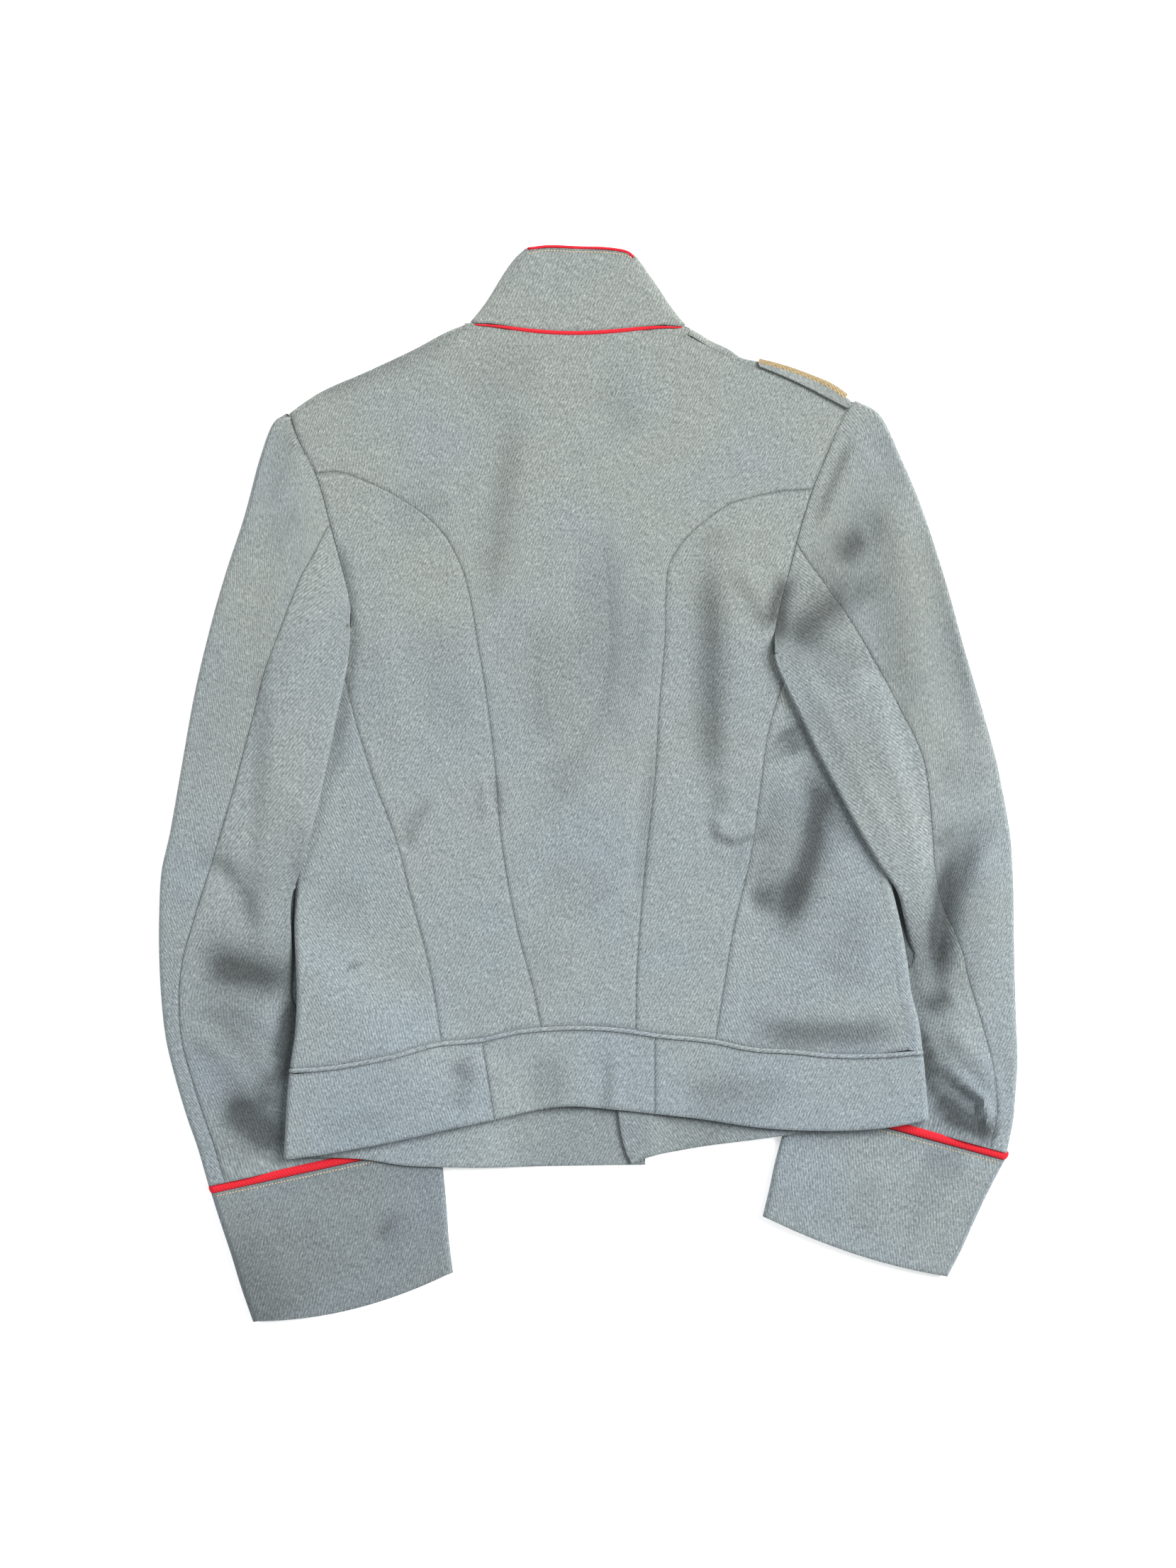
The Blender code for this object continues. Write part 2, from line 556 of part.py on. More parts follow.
def build_side(side):
    edge = side_edge(side)
    out = outward(edge, -side.sign)
    inside = inset(edge, out, back_height, front_height)
    seam = side_back(side)
    stop = inside if side is LEFT else side_seam_right(edge, inside)
    low = along([stop[0], seam[0]], steps(SIDE_COLS))
    low[:, 1] = waist_y(low[:, 0])
    low[0] = stop[0]
    high = along([stop[-1], seam[-1]], steps(SIDE_COLS))
    upper = patch(low, high, stop, seam)
    if side is RIGHT:
        net = draw_in(place(upper, back_height), rows=(0, 0.6))
        cloth("side_right", [net], flip=True)
        return
    upper = place(draw_in(upper, rows=(0, 0.6), cols=(0, SEAM)), back_height)
    hidden = side_seam_left(edge, inside)
    lower = np.stack([inside, (inside + hidden) / 2, hidden], axis=1)
    lower[:, :, 1] = edge[:, 1:2]
    lower = place(draw_in(lower, rows=(0, 0.6), cols=(0, SEAM)), front_height)
    upper[:, 0, :2] = lower[:, 0, :2]
    upper[:, 0, 2] = back_height(upper[:, 0, 0], upper[:, 0, 1])
    wrap = fold(upper[:, 0], lower[:, 0], out)
    cloth("side_left", [np.concatenate([upper[:, ::-1], wrap, lower], axis=1)], flip=True)


def build_back_center():
    """The centre back, with a narrow tuck under the left shoulder's fold; returns that tuck's hem."""
    arm_left = np.asarray(ARMHOLE_LEFT[:2], float)[::-1]
    arm_right = np.asarray(ARMHOLE_RIGHT[1:3], float)[::-1]
    left = np.concatenate([princess(LEFT), princess_top(LEFT)[1:], arm_left])
    right = np.concatenate([princess(RIGHT), princess_top(RIGHT)[1:], arm_right])
    edge = along(SHOULDER_LEFT, steps(5))
    out = outward(edge, 1)
    out[0] = TIP_OUT["left"]
    inside = inset(edge, out, back_height, front_height)
    left[-1] = inside[0]
    neck = along(NECK_SEAM, steps(5))
    neck[:, 1] -= NECK_GROOVE
    neck[0] = inside[-1]
    neck[-1] = np.array(SHOULDER_SEAM_RIGHT[0]) + (-0.8, -0.2)
    seam = along(SHOULDER_SEAM_RIGHT, LAP_SHARES)
    seam[0] = neck[-1]
    high = np.concatenate([inside, neck[1:], seam[1:]])
    low = by_x(WAIST_SEAM, left[0, 0], right[0, 0], len(high) - 1)
    low[:, 1] += WAIST_GROOVE
    low[0] = left[0]
    low[-1] = right[0]
    net = draw_in(patch(low, high, left, right), rows=(0, 0))
    neck_end = len(inside) + len(neck) - 2
    net[-1, neck_end:] -= (0, SEAM)
    net = place(net, back_height)
    top_row = net[-1, :len(inside)]
    under = top_row.copy()
    under[:, 2] = front_height(under[:, 0], under[:, 1])
    wrap = fold(top_row, under, out)
    hem = under.copy()
    hem[:, :2] -= out * SHOULDER_TUCK
    turned = np.concatenate([top_row[:, None], wrap, under[:, None], hem[:, None]], axis=1)
    cloth("back_center", [net, np.swapaxes(turned, 0, 1)])
    return hem


# Fronts, underneath

def neckline(sign, count, grow):
    """Front neckline from the corner down to the middle, widened by grow."""
    corner = np.array(NECK_SEAM[0] if sign < 0 else NECK_SEAM[-1], float)
    half = abs(corner[0] - NECK_MIDDLE) + grow
    angle = steps(count) * np.pi / 2
    x = NECK_MIDDLE + sign * half * np.cos(angle)
    y = corner[1] - (corner[1] - FRONT_NECK + grow) * np.sin(angle)
    return np.stack([x, y], axis=1)


FRONT_ROWS = 22
NECK_ROWS = 9
LAP_SHARES = np.array([0, 0.1, 0.2, 0.4, 0.62, 0.78, 0.9, 1])


def lower_waist_y(x):
    return y_at(LOWER_WAIST, x) + WAIST_GROOVE


def build_front_left(shoulder):
    edge = side_edge(LEFT)
    inside = inset(edge, outward(edge, 1), back_height, front_height)
    hidden = side_seam_left(edge, inside)
    arm = np.asarray(LOWER_ARMHOLE_LEFT, float)[::-1].copy()
    arm[0] = hidden[-1]
    arm = along(arm, steps(FRONT_ROWS - TORSO_ROWS))
    left = np.concatenate([hidden, arm[1:]])
    left[-1] = shoulder[0, :2]
    left[0, 1] = lower_waist_y(left[0, 0])
    neck = neckline(-1, NECK_ROWS, NECK_GROOVE)[::-1]
    start_y = float(lower_waist_y(39))
    centre = by_y(FRONT_EDGE_LEFT, start_y, neck[0, 1], FRONT_ROWS - NECK_ROWS)
    right = np.concatenate([centre[:-1], neck])
    right[FRONT_ROWS - NECK_ROWS][0] = centre[-1][0]
    high = shoulder[:, :2].copy()
    right[-1] = high[-1]
    low = by_x(LOWER_WAIST, left[0, 0], right[0, 0], len(high) - 1)
    low[:, 1] += WAIST_GROOVE
    low[0] = left[0]
    low[-1] = right[0]
    net = draw_in(patch(low, high, left, right), rows=(0, 0.4), cols=(SEAM, 0))
    cloth("front_left", [place(net, front_height)], flip=True)


def build_front_right():
    edge = side_edge(RIGHT)
    out = outward(edge, -1)
    inside = inset(edge, out, back_height, right_front_height)
    arm = np.asarray(LOWER_ARMHOLE_RIGHT, float)[::-1].copy()
    arm[0] = inside[-1]
    arm = along(arm, steps(FRONT_ROWS - TORSO_ROWS))
    shoulder = along(SHOULDER_RIGHT, LAP_SHARES)
    turned_out = outward(shoulder, 1)
    turned_out[-1] = TIP_OUT["right"]
    bare = shoulder - turned_out * (STRAP_RISE * ease((shoulder[:, :1] - 100) / 10))
    high = inset(bare, turned_out, back_height, right_front_height)
    neck = neckline(1, NECK_ROWS, NECK_GROOVE)[::-1]
    start_y = float(lower_waist_y(19.5))
    centre = by_y(FRONT_EDGE_RIGHT, start_y, neck[0, 1], FRONT_ROWS - NECK_ROWS)
    left = np.concatenate([centre[:-1], neck])
    left[FRONT_ROWS - NECK_ROWS][0] = centre[-1][0]
    left[-1] = high[0]
    right = np.concatenate([inside, arm[1:]])
    right[-1] = high[-1]
    x = left[0, 0] + (right[0, 0] - left[0, 0]) * LAP_SHARES
    low = np.stack([x, lower_waist_y(x)], axis=1)
    low[0] = left[0]
    low[-1] = right[0]
    flat = place(draw_in(patch(low, high, left, right), rows=(0, 0), cols=(0, 0)), right_front_height)
    flat[TORSO_ROWS + 1:, -1, 0] -= SEAM
    rows = TORSO_ROWS + 1
    lower = flat[:rows, -1]
    upper = lower.copy()
    upper[:, 2] = back_height(upper[:, 0], upper[:, 1])
    seam = place(side_seam_right(edge, inside) + (SEAM, 0), back_height)
    wrap = fold(upper, lower, out)[:, ::-1]
    side_wrap = np.concatenate([lower[:, None], wrap, upper[:, None], seam[:, None]], axis=1)
    top_low = flat[-1]
    top_high = top_low.copy()
    top_high[:, 2] = back_height(top_high[:, 0], top_high[:, 1])
    shoulder_seam = along(SHOULDER_SEAM_RIGHT, LAP_SHARES)
    shoulder_seam[:, 1] += SEAM
    shoulder_seam[0] += (0.2, 0.2)
    strip = place(shoulder_seam, back_height)
    round_top = fold(top_high, top_low, turned_out)[:, ::-1]
    wrapped = np.concatenate([top_low[:, None], round_top, top_high[:, None], strip[:, None]], axis=1)
    cloth("front_right", [flat, side_wrap, np.swapaxes(wrapped, 0, 1)], flip=True)


def build_strap():
    x = np.linspace(*STRAP, 6)
    edge = np.stack([x, y_at(SHOULDER_RIGHT, x)], axis=1)
    out = outward(edge, 1)
    lift = STRAP_WALL + 0.45

    def above(x, y):
        return back_height(x, y) + lift

    radius = (above(edge[:, 0], edge[:, 1])) / 2
    inside = edge - out * radius[:, None]
    upper = place(inside, above)
    lower = upper.copy()
    lower[:, 2] = 0
    seam = place(np.stack([x, y_at(SHOULDER_SEAM_RIGHT, x) + 1.2], axis=1), above)
    near = lower.copy()
    near[:, :2] -= out * STRAP_UNDER / 2
    far = lower.copy()
    far[:, :2] -= out * STRAP_UNDER
    net = np.concatenate([seam[:, None], upper[:, None], fold(upper, lower, out, 5), lower[:, None], near[:, None],
                          far[:, None]], axis=1)
    cloth("shoulder_strap_right", [net], wall=STRAP_WALL, flip=True, rgb=(0.42, 0.33, 0.17))


# Waistband

BAND_ROWS = 3


def band_upper(x_left, x_right, cols):
    high = by_x(WAIST_SEAM, x_left[1], x_right[1], cols)
    high[:, 1] -= WAIST_GROOVE
    low = by_x(BACK_HEM, x_left[0], x_right[0], cols)
    return low, high


def build_waistband():
    seam_left = along(BAND_SEAM_LEFT, steps(BAND_ROWS))
    seam_left[-1, 1] = y_at(WAIST_SEAM, seam_left[-1, 0]) - WAIST_GROOVE
    seam_right = along(BAND_SEAM_RIGHT, steps(BAND_ROWS))
    seam_right[-1, 1] = y_at(WAIST_SEAM, seam_right[-1, 0]) - WAIST_GROOVE
    low, high = band_upper((seam_left[0, 0], seam_left[-1, 0]), (seam_right[0, 0], seam_right[-1, 0]), 10)
    low[0], high[0], low[-1], high[-1] = seam_left[0], seam_left[-1], seam_right[0], seam_right[-1]
    net = draw_in(patch(low, high, seam_left, seam_right), rows=(0, 0))
    cloth("waistband_back", [place(net, back_height)])
    for side, seam in ((LEFT, seam_left), (RIGHT, seam_right)):
        under = front_height if side is LEFT else right_front_height
        hem_y = side.edge[0][1]
        top_y = float(y_at(WAIST_SEAM, side.edge[1][0])) - WAIST_GROOVE
        edge = by_y(side.edge, hem_y, top_y, BAND_ROWS)
        out = outward(edge, -side.sign)
        inside = inset(edge, out, back_height, under)
        cols = 9 if side is LEFT else 12
        low, high = band_upper((inside[0, 0], inside[-1, 0]), (seam[0, 0], seam[-1, 0]), cols)
        low[0], high[0], low[-1], high[-1] = inside[0], inside[-1], seam[0], seam[-1]
        upper = place(draw_in(patch(low, high, inside, seam), rows=(0, 0), cols=(0, SEAM)), back_height)
        front = FRONT_EDGE_LEFT if side is LEFT else FRONT_EDGE_RIGHT
        hem = FRONT_HEM_LEFT if side is LEFT else FRONT_HEM_RIGHT
        far = by_y(front, front[0][1], float(y_at(LOWER_WAIST, front[1][0])) - WAIST_GROOVE, BAND_ROWS)
        cols = 12 if side is LEFT else 11
        low = by_x(hem, inside[0, 0], far[0, 0], cols)
        high = by_x(LOWER_WAIST, inside[-1, 0], far[-1, 0], cols)
        high[:, 1] -= WAIST_GROOVE
        low[0], high[0], low[-1], high[-1] = inside[0], inside[-1], far[0], far[-1]
        lower = place(patch(low, high, inside, far), under)
        wrap = fold(upper[:, 0], lower[:, 0], out)
        net = np.concatenate([upper[:, ::-1], wrap, lower], axis=1)
        cloth("waistband_" + side.name, [net], flip=side is LEFT)


def waist_route():
    """Route and normals of the waist piping, from the left front round the back to the right front."""
    parts = []
    normals = []
    for side in (LEFT, RIGHT):
        under = front_height if side is LEFT else right_front_height
        end = np.array(side.edge[1], float)
        out = np.array([side.sign, 0.0])
        radius = float(back_height(*end) - under(*end)) / 2
        inner = end - out * radius
        start = 17.0 if side is LEFT else 24.0
        low = by_x(LOWER_WAIST, start, inner[0], 12)
        low = np.concatenate([low, under(low[:, 0], low[:, 1])[:, None]], axis=1)
        low[-1, :2] = inner
        top = np.array([inner[0], inner[1], float(back_height(*inner))])
        bend, bend_normals = turn_over(top, low[-1], out, 6)
        parts.append(np.concatenate([low, bend[::-1]]))
        normals.append(np.concatenate([flat_normals(len(low), False), bend_normals[::-1]]))
        if side is LEFT:
            first = inner
        else:
            last = inner
    x = np.linspace(first[0], last[0], 31)
    back = np.stack([x, y_at(WAIST_SEAM, x)], axis=1)
    back = place(back[None], back_height)[0]
    route = np.concatenate([parts[0], back, parts[1][::-1]])
    return route, np.concatenate([normals[0], flat_normals(len(back), True), normals[1][::-1]])


# Collar

def build_collar():
    folds = {}
    for sign, line in ((-1, COLLAR_FOLD_LEFT), (1, COLLAR_FOLD_RIGHT)):
        edge = along(line, steps(4))
        out = outward(edge, -sign)
        out[:] = out[2]
        inside = inset(edge, out, back_height, front_height)
        inside[0] = inside[0] + (0, NECK_GROOVE)
        folds[sign] = (out, inside)
    left = folds[-1][1]
    right = folds[1][1]
    low = along(NECK_SEAM, steps(10))
    low[:, 1] += NECK_GROOVE
    low[0] = left[0]
    low[-1] = right[0]
    high = along(COLLAR_TOP, steps(10))
    high[:, 1] -= 2.2
    high[0] = left[-1]
    high[-1] = right[-1]
    upper = place(patch(low, high, left, right), back_height)
    halves = []
    for sign in (-1, 1):
        out, inside = folds[sign]
        edge_row = upper[:, 0] if sign < 0 else upper[:, -1]
        angle = steps(9) * np.pi / 2
        half_top = abs(inside[-1, 0] - NECK_MIDDLE)
        drop_top = inside[-1, 1] - (FRONT_NECK + COLLAR_HEIGHT)
        top_x = NECK_MIDDLE + sign * half_top * np.cos(angle)
        top = np.stack([top_x, inside[-1, 1] - drop_top * np.sin(angle)], axis=1)
        base = neckline(sign, 9, -NECK_GROOVE)
        base[0] = inside[0]
        middle = np.stack([top[-1] * s + base[-1] * (1 - s) for s in steps(4)])
        strip = patch(base, top, edge_row[:, :2], middle)
        strip[:, -1, 0] += sign * 0.3
        strip = place(strip, front_height)
        strip[:, 0, :2] = edge_row[:, :2]
        wrap = fold(edge_row, strip[:, 0], out)
        halves.append((wrap, strip))
    (wrap_left, strip_left), (wrap_right, strip_right) = halves
    net = np.concatenate([strip_left[:, ::-1], wrap_left[:, ::-1], upper, wrap_right, strip_right], axis=1)
    cloth("collar", [net])
    return net


def edge_piping(net, row, away):
    """Route and normals along one edge row of the collar."""
    line = net[row]
    inward = net[row + (1 if row == 0 else -1)] - line
    along_row = np.gradient(line, axis=0)
    along_row /= np.linalg.norm(along_row, axis=1, keepdims=True)
    inward -= along_row * np.sum(inward * along_row, axis=1, keepdims=True)
    inward /= np.linalg.norm(inward, axis=1, keepdims=True)
    normal = np.cross(along_row, inward) * (1 if row == 0 else -1)
    normal /= np.linalg.norm(normal, axis=1, keepdims=True)
    return line - inward * away, normal


# Sleeves and cuffs

SLEEVE_SPLIT = 2
CUFF_GROOVE = CUFF_PIPING.width / 2 + 0.8
LOWER_COLS = 5
LOWER_SEAM = 1


def sleeve_rows(side):
    count = len(side.stations)
    at = np.linspace(0, count - 1, (count - 1) * SLEEVE_SPLIT + 1)
    knots = np.arange(count)
    table = np.asarray(side.stations, float)
    columns = [smooth(knots, table[:, k], at) for k in range(5)]
    outer = np.stack(columns[0:2], axis=1)
    inner = np.stack(columns[2:4], axis=1)
    return at, outer, inner, columns[4]


def build_sleeve(side):
    at, outer, inner, hind = sleeve_rows(side)
    out_outer = outward(outer, side.sign)
    out_inner = outward(inner, -side.sign)
    out_outer[0] = TIP_OUT[side.name]
    end = inner[-1] - outer[-1]
    end /= np.linalg.norm(end)
    out_outer[-1] = -end
    out_inner[-1] = end

    def top(share, row):
        return lambda x, y: sleeve_height(side, x, y, share, row)

    def under(x, y):
        return sleeve_under(side, x, y)

    outer_in = inset(outer, out_outer, top(0, at), under)
    inner_in = inset(inner, out_inner, top(0, at), under)
    inner_in[-1] -= end
    first = np.asarray(side.armhole, float)
    upper_cols = len(first) - 1
    shares = np.empty((len(at), upper_cols + 1))
    for j in range(upper_cols + 1):
        if j <= side.hind:
            shares[:, j] = j / side.hind * hind
        else:
            shares[:, j] = hind + (j - side.hind) / (upper_cols - side.hind) * (1 - hind)
    net = outer_in[:, None] * (1 - shares[..., None]) + inner_in[:, None] * shares[..., None]
    bend = first - net[0]
    bend[0] = 0
    bend[-1] = 0
    net += bend[None] * (ease(1 - at / 7)[:, None, None])
    z = sleeve_height(side, net[..., 0], net[..., 1], shares, at[:, None])
    upper = np.concatenate([net, z[..., None]], axis=-1)
    ring = np.concatenate([np.asarray(side.lower_armhole, float), [np.asarray(side.lap, float)]])
    ring = along(ring, steps(LOWER_COLS))
    spread = np.linspace(0, 1, LOWER_COLS + 1)
    lower = outer_in[:, None] * (1 - spread[None, :, None]) + inner_in[:, None] * spread[None, :, None]
    bend = ring - lower[0]
    bend[0] = 0
    bend[-1] = 0
    lower += bend[None] * (1 - at / 10).clip(0, 1)[:, None, None]
    lower = place(lower, under)
    up_arm = np.array([-end[1], end[0]]) * -side.sign
    for net, gap in ((upper, 0.3), (lower, 0.7)):
        net[0] += (net[1] - net[0]) * gap / np.linalg.norm(net[1] - net[0], axis=1, keepdims=True)
        net[-1, :, :2] += up_arm * CUFF_GROOVE
    lower[:, 0, :2] = upper[:, 0, :2]
    lower[:, -1, :2] = upper[:, -1, :2]
    wrap_outer = fold(upper[:, 0], lower[:, 0], out_outer)
    wrap_inner = fold(upper[:, -1], lower[:, -1], out_inner)
    h = side.hind
    top_net = np.concatenate([upper[:, h::-1], wrap_outer, lower[:, :LOWER_SEAM + 1]], axis=1)
    under_net = np.concatenate([upper[:, h:], wrap_inner, lower[:, :LOWER_SEAM - 1:-1]], axis=1)
    top_net = draw_in(top_net, rows=(0, 0), cols=(0.32, 0.32))
    under_net = draw_in(under_net, rows=(0, 0), cols=(0.32, 0.32))
    cloth("top_sleeve_" + side.name, [top_net], flip=side is RIGHT)
    cloth("under_sleeve_" + side.name, [under_net], flip=side is LEFT)


CUFF_COLS = 8


def cuff_height(side, x, y):
    """Cuffs are low under the body and full below its hem."""
    hem = -282 if side is LEFT else -262
    return HIDDEN_TOP + (CUFF_TOP - HIDDEN_TOP) * ease((hem - y) / 25)


def cuff_ring(side, rows, steps_round):
    """Rings of the flattened cuff at the given rows, as points and outward normals."""
    table = np.asarray(side.cuff, float)
    knots = np.arange(len(table))
    outer_x, outer_y, inner_x, inner_y, bow = [smooth(knots, table[:, k], rows) for k in range(5)]
    outer = np.stack([outer_x, outer_y], axis=1)
    inner = np.stack([inner_x, inner_y], axis=1)
    across = inner - outer
    across /= np.linalg.norm(across, axis=1, keepdims=True)
    radius = cuff_height(side, outer_x, outer_y) / 2
    start = outer + across * radius[:, None]
    end = inner - across * (cuff_height(side, inner_x, inner_y) / 2)[:, None]
    spread = np.linspace(0, 1, CUFF_COLS + 1)
    flat = start[:, None] * (1 - spread[None, :, None]) + end[:, None] * spread[None, :, None]
    flat[..., 1] -= bow[:, None] * 4 * spread * (1 - spread)
    upper = place(flat, lambda x, y: cuff_height(side, x, y))
    lower = upper.copy()
    lower[..., 2] = 0
    wrap_inner = fold(upper[:, -1], lower[:, -1], across, steps_round)
    wrap_outer = fold(upper[:, 0], lower[:, 0], -across, steps_round)
    return np.concatenate([upper, wrap_inner, lower[:, ::-1], wrap_outer[:, ::-1]], axis=1)


def build_cuff(side):
    first = np.array([0.13])
    rows = np.concatenate([first, np.arange(1, len(side.cuff))])
    net = cuff_ring(side, rows, FOLD_STEPS)
    cloth("cuff_" + side.name, [net], wall=CUFF_WALL, ring=True, flip=side is LEFT)
    ring = cuff_ring(side, np.array([-0.0, 0.1]), 6)
    line = ring[0]
    run = np.roll(line, -1, axis=0) - np.roll(line, 1, axis=0)
    down = ring[1] - ring[0]
    normal = np.cross(run, down) * side.sign
    normal /= np.linalg.norm(normal, axis=1, keepdims=True)
    sweep("cuff_piping_" + side.name, line, normal, CUFF_PIPING, closed=True)


for item in list(bpy.data.objects):
    bpy.data.objects.remove(item, do_unlink=True)
jacket = bpy.data.collections.new("military_uniform_jacket")
bpy.context.scene.collection.children.link(jacket)

shoulder_turn = build_back_center()
for arm_side in (LEFT, RIGHT):
    build_back_side(arm_side)
    build_side(arm_side)
    build_sleeve(arm_side)
    build_cuff(arm_side)
build_front_left(shoulder_turn)
build_front_right()
build_strap()
build_waistband()
sweep("waistband_piping", *waist_route(), WAIST_PIPING, rgb=(0.29, 0.35, 0.38))
collar_net = build_collar()
sweep("collar_top_piping", *edge_piping(collar_net, -1, NECK_GROOVE), COLLAR_PIPING)
sweep("collar_base_piping", *edge_piping(collar_net, 0, NECK_GROOVE), COLLAR_PIPING)
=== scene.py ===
"""Military uniform jacket, laid flat with its back up: cloth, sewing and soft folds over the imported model.

X runs to the right over the back, Y towards the collar and Z up, as in the model.
Lengths are written in millimetres and become metres when a mesh is made.
"""
from collections import namedtuple
import bpy
import numpy as np
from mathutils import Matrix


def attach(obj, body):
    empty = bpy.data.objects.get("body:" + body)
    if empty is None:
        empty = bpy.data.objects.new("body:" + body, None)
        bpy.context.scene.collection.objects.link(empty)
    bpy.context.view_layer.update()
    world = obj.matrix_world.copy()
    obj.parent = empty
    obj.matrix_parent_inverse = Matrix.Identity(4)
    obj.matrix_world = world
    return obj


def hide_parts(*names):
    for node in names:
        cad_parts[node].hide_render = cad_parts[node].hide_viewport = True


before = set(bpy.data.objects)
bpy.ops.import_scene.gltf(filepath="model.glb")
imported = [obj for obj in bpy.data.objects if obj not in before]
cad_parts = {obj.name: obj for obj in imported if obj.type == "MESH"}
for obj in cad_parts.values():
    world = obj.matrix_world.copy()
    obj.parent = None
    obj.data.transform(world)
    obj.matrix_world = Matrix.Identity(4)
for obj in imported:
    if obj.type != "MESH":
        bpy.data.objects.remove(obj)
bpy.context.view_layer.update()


# Camera and table
# The jacket lies on a plain white table and is photographed from straight above.
# The frame takes in 839 by 1119 mm of the table, the same as the photograph does.
TABLE_WHITE = 0xFBFBFB
TABLE_GLOW = 0.42
TABLE_HALF = 9.0
TABLE_DROP = 0.0006
CAMERA_HEIGHT = 1.55
FRAME_LENGTH = 1.1193
FILM_HEIGHT = 36

camera_data = bpy.data.cameras.new("overhead_camera")
camera_data.sensor_fit = "VERTICAL"
camera_data.sensor_height = FILM_HEIGHT
camera_data.lens = FILM_HEIGHT * CAMERA_HEIGHT / FRAME_LENGTH
camera = bpy.data.objects.new("overhead_camera", camera_data)
camera.location = (0, 0, CAMERA_HEIGHT)
bpy.context.scene.collection.objects.link(camera)
bpy.context.scene.camera = camera
bpy.context.scene.view_settings.view_transform = "Standard"


def linear(code):
    """The linear colour of an sRGB hex value."""
    parts = [(code >> shift & 255) / 255 for shift in (16, 8, 0)]
    return tuple(p / 12.92 if p <= 0.04045 else ((p + 0.055) / 1.055) ** 2.4 for p in parts) + (1.0,)


def fill(tree, node, inputs):
    """Give a node's inputs their values, or the sockets that they are linked to."""
    for name, value in inputs.items():
        if isinstance(value, bpy.types.NodeSocket):
            tree.links.new(value, node.inputs[name])
        else:
            node.inputs[name].default_value = value


def add(tree, kind, inputs=(), **settings):
    """One more node, with its settings and its inputs."""
    node = tree.nodes.new(kind)
    for name, value in settings.items():
        setattr(node, name, value)
    fill(tree, node, dict(inputs))
    return node


def new_material(name):
    """An empty material with its Principled shader and its node tree."""
    made = bpy.data.materials.new(name)
    made.use_nodes = True
    return made, made.node_tree, made.node_tree.nodes["Principled BSDF"]


# Matt white laminate: smooth, with no gloss that would mirror the jacket
table_laminate, tree, shader = new_material("white_table_laminate")
grain = add(tree, "ShaderNodeTexNoise", {"Scale": 400.0, "Detail": 2.0})
faint = add(tree, "ShaderNodeBump", {"Strength": 0.05, "Distance": 0.0002, "Height": grain.outputs["Fac"]})
fill(tree, shader, {"Base Color": linear(TABLE_WHITE), "Roughness": 0.9, "Specular IOR Level": 0.1,
                    "Emission Color": (1, 1, 1, 1), "Emission Strength": TABLE_GLOW,
                    "Normal": faint.outputs["Normal"]})
table_mesh = bpy.data.meshes.new("table_top")
corners = [(x * TABLE_HALF, y * TABLE_HALF, 0) for x, y in ((-1, -1), (1, -1), (1, 1), (-1, 1))]
table_mesh.from_pydata(corners, [], [(0, 1, 2, 3)])
table_mesh.materials.append(table_laminate)
table_top = bpy.data.objects.new("table_top", table_mesh)
table_top.location.z = -TABLE_DROP
bpy.context.scene.collection.objects.link(table_top)


# Studio light
# One large soft lamp stands beyond the collar to the right, so every fold is shaded on its left and lower
# side. The white walls of the studio give the even light from all other sides.
def lamp(name, place, aim, size, power):
    data = bpy.data.lights.new(name, "AREA")
    data.shape = "DISK"
    data.size = size
    data.energy = power
    item = bpy.data.objects.new(name, data)
    item.location = place
    direction = np.array(aim) - np.array(place)
    flat = float(np.hypot(direction[0], direction[1]))
    item.rotation_euler = (np.arctan2(flat, -direction[2]), 0, np.arctan2(-direction[0], direction[1]))
    bpy.context.scene.collection.objects.link(item)


lamp("key_lamp", (4.0, 2.0, 3.5), (0, 0, 0), 3.6, 650)
lamp("fill_lamp", (-3.6, 1.6, 3.0), (0, 0, 0), 2.0, 110)
studio = bpy.data.worlds.new("studio_walls")
studio.use_nodes = True
walls = studio.node_tree.nodes["Background"]
fill(studio.node_tree, walls, {"Color": (0.96, 0.98, 1.0, 1), "Strength": 0.36})
bpy.context.scene.world = studio


# Centre back
# The wide middle panel of the back, cut with its curved edges in one with the shoulders.
# It is a heavy melange wool twill, 2 mm with its backing, and the side backs are sewn to it.
MM = 0.001
WALL = 2.0
SEAM = 0.07                          # half the gap that is left at a seam
BACK_TOP = 8.0                       # height of the back's outer face over the table
LIFT = 7.2                           # the body lies this much higher on the sleeves under it
LIFT_RAMP = 60.0
LIFT_MARGIN = 14.0
FRONT_STEP = 2.5                     # the right front lies this much over the left
FRONT_OVERLAP = (12.0, 70.0, 30.0)   # middle x, half width and ramp of the overlap
LAYER_GAP = 0.5
FOLD_STEPS = 10
CALM = (95.0, -125.0)                # between these rows the creases end short of the sleeves
CALM_RUN = (3.0, 14.0)

# Seams and edges, each from the bottom up, as rows of x, y
PRINCESS_LEFT = ((-33, -174), (-39, -145), (-49, -108), (-62, -36), (-67, 23), (-74, 75), (-79, 104),
                 (-82, 124), (-92, 159), (-103, 178), (-118, 192.5), (-141, 207))
PRINCESS_LEFT_TOP = ((-141, 207), (-156, 214.3), (-179, 221.8), (-193.4, 220.8))
PRINCESS_RIGHT = ((34, -174.6), (34.7, -138), (40.8, -57), (47.3, 1), (51.3, 64), (54.8, 104),
                  (55.3, 135), (58.5, 157.6), (69, 173.7), (85, 188.3), (101.3, 199.6))
PRINCESS_RIGHT_TOP = ((101.3, 199.6), (122.3, 205.2), (146.6, 208.8), (159.6, 209.4))
EDGE_LEFT = ((-215.7, -265.2), (-211.5, -203), (-207.8, -178), (-206.5, -149), (-207, -130),
             (-208.6, -103), (-208.4, -79), (-206, -28), (-204, 28), (-203, 90))
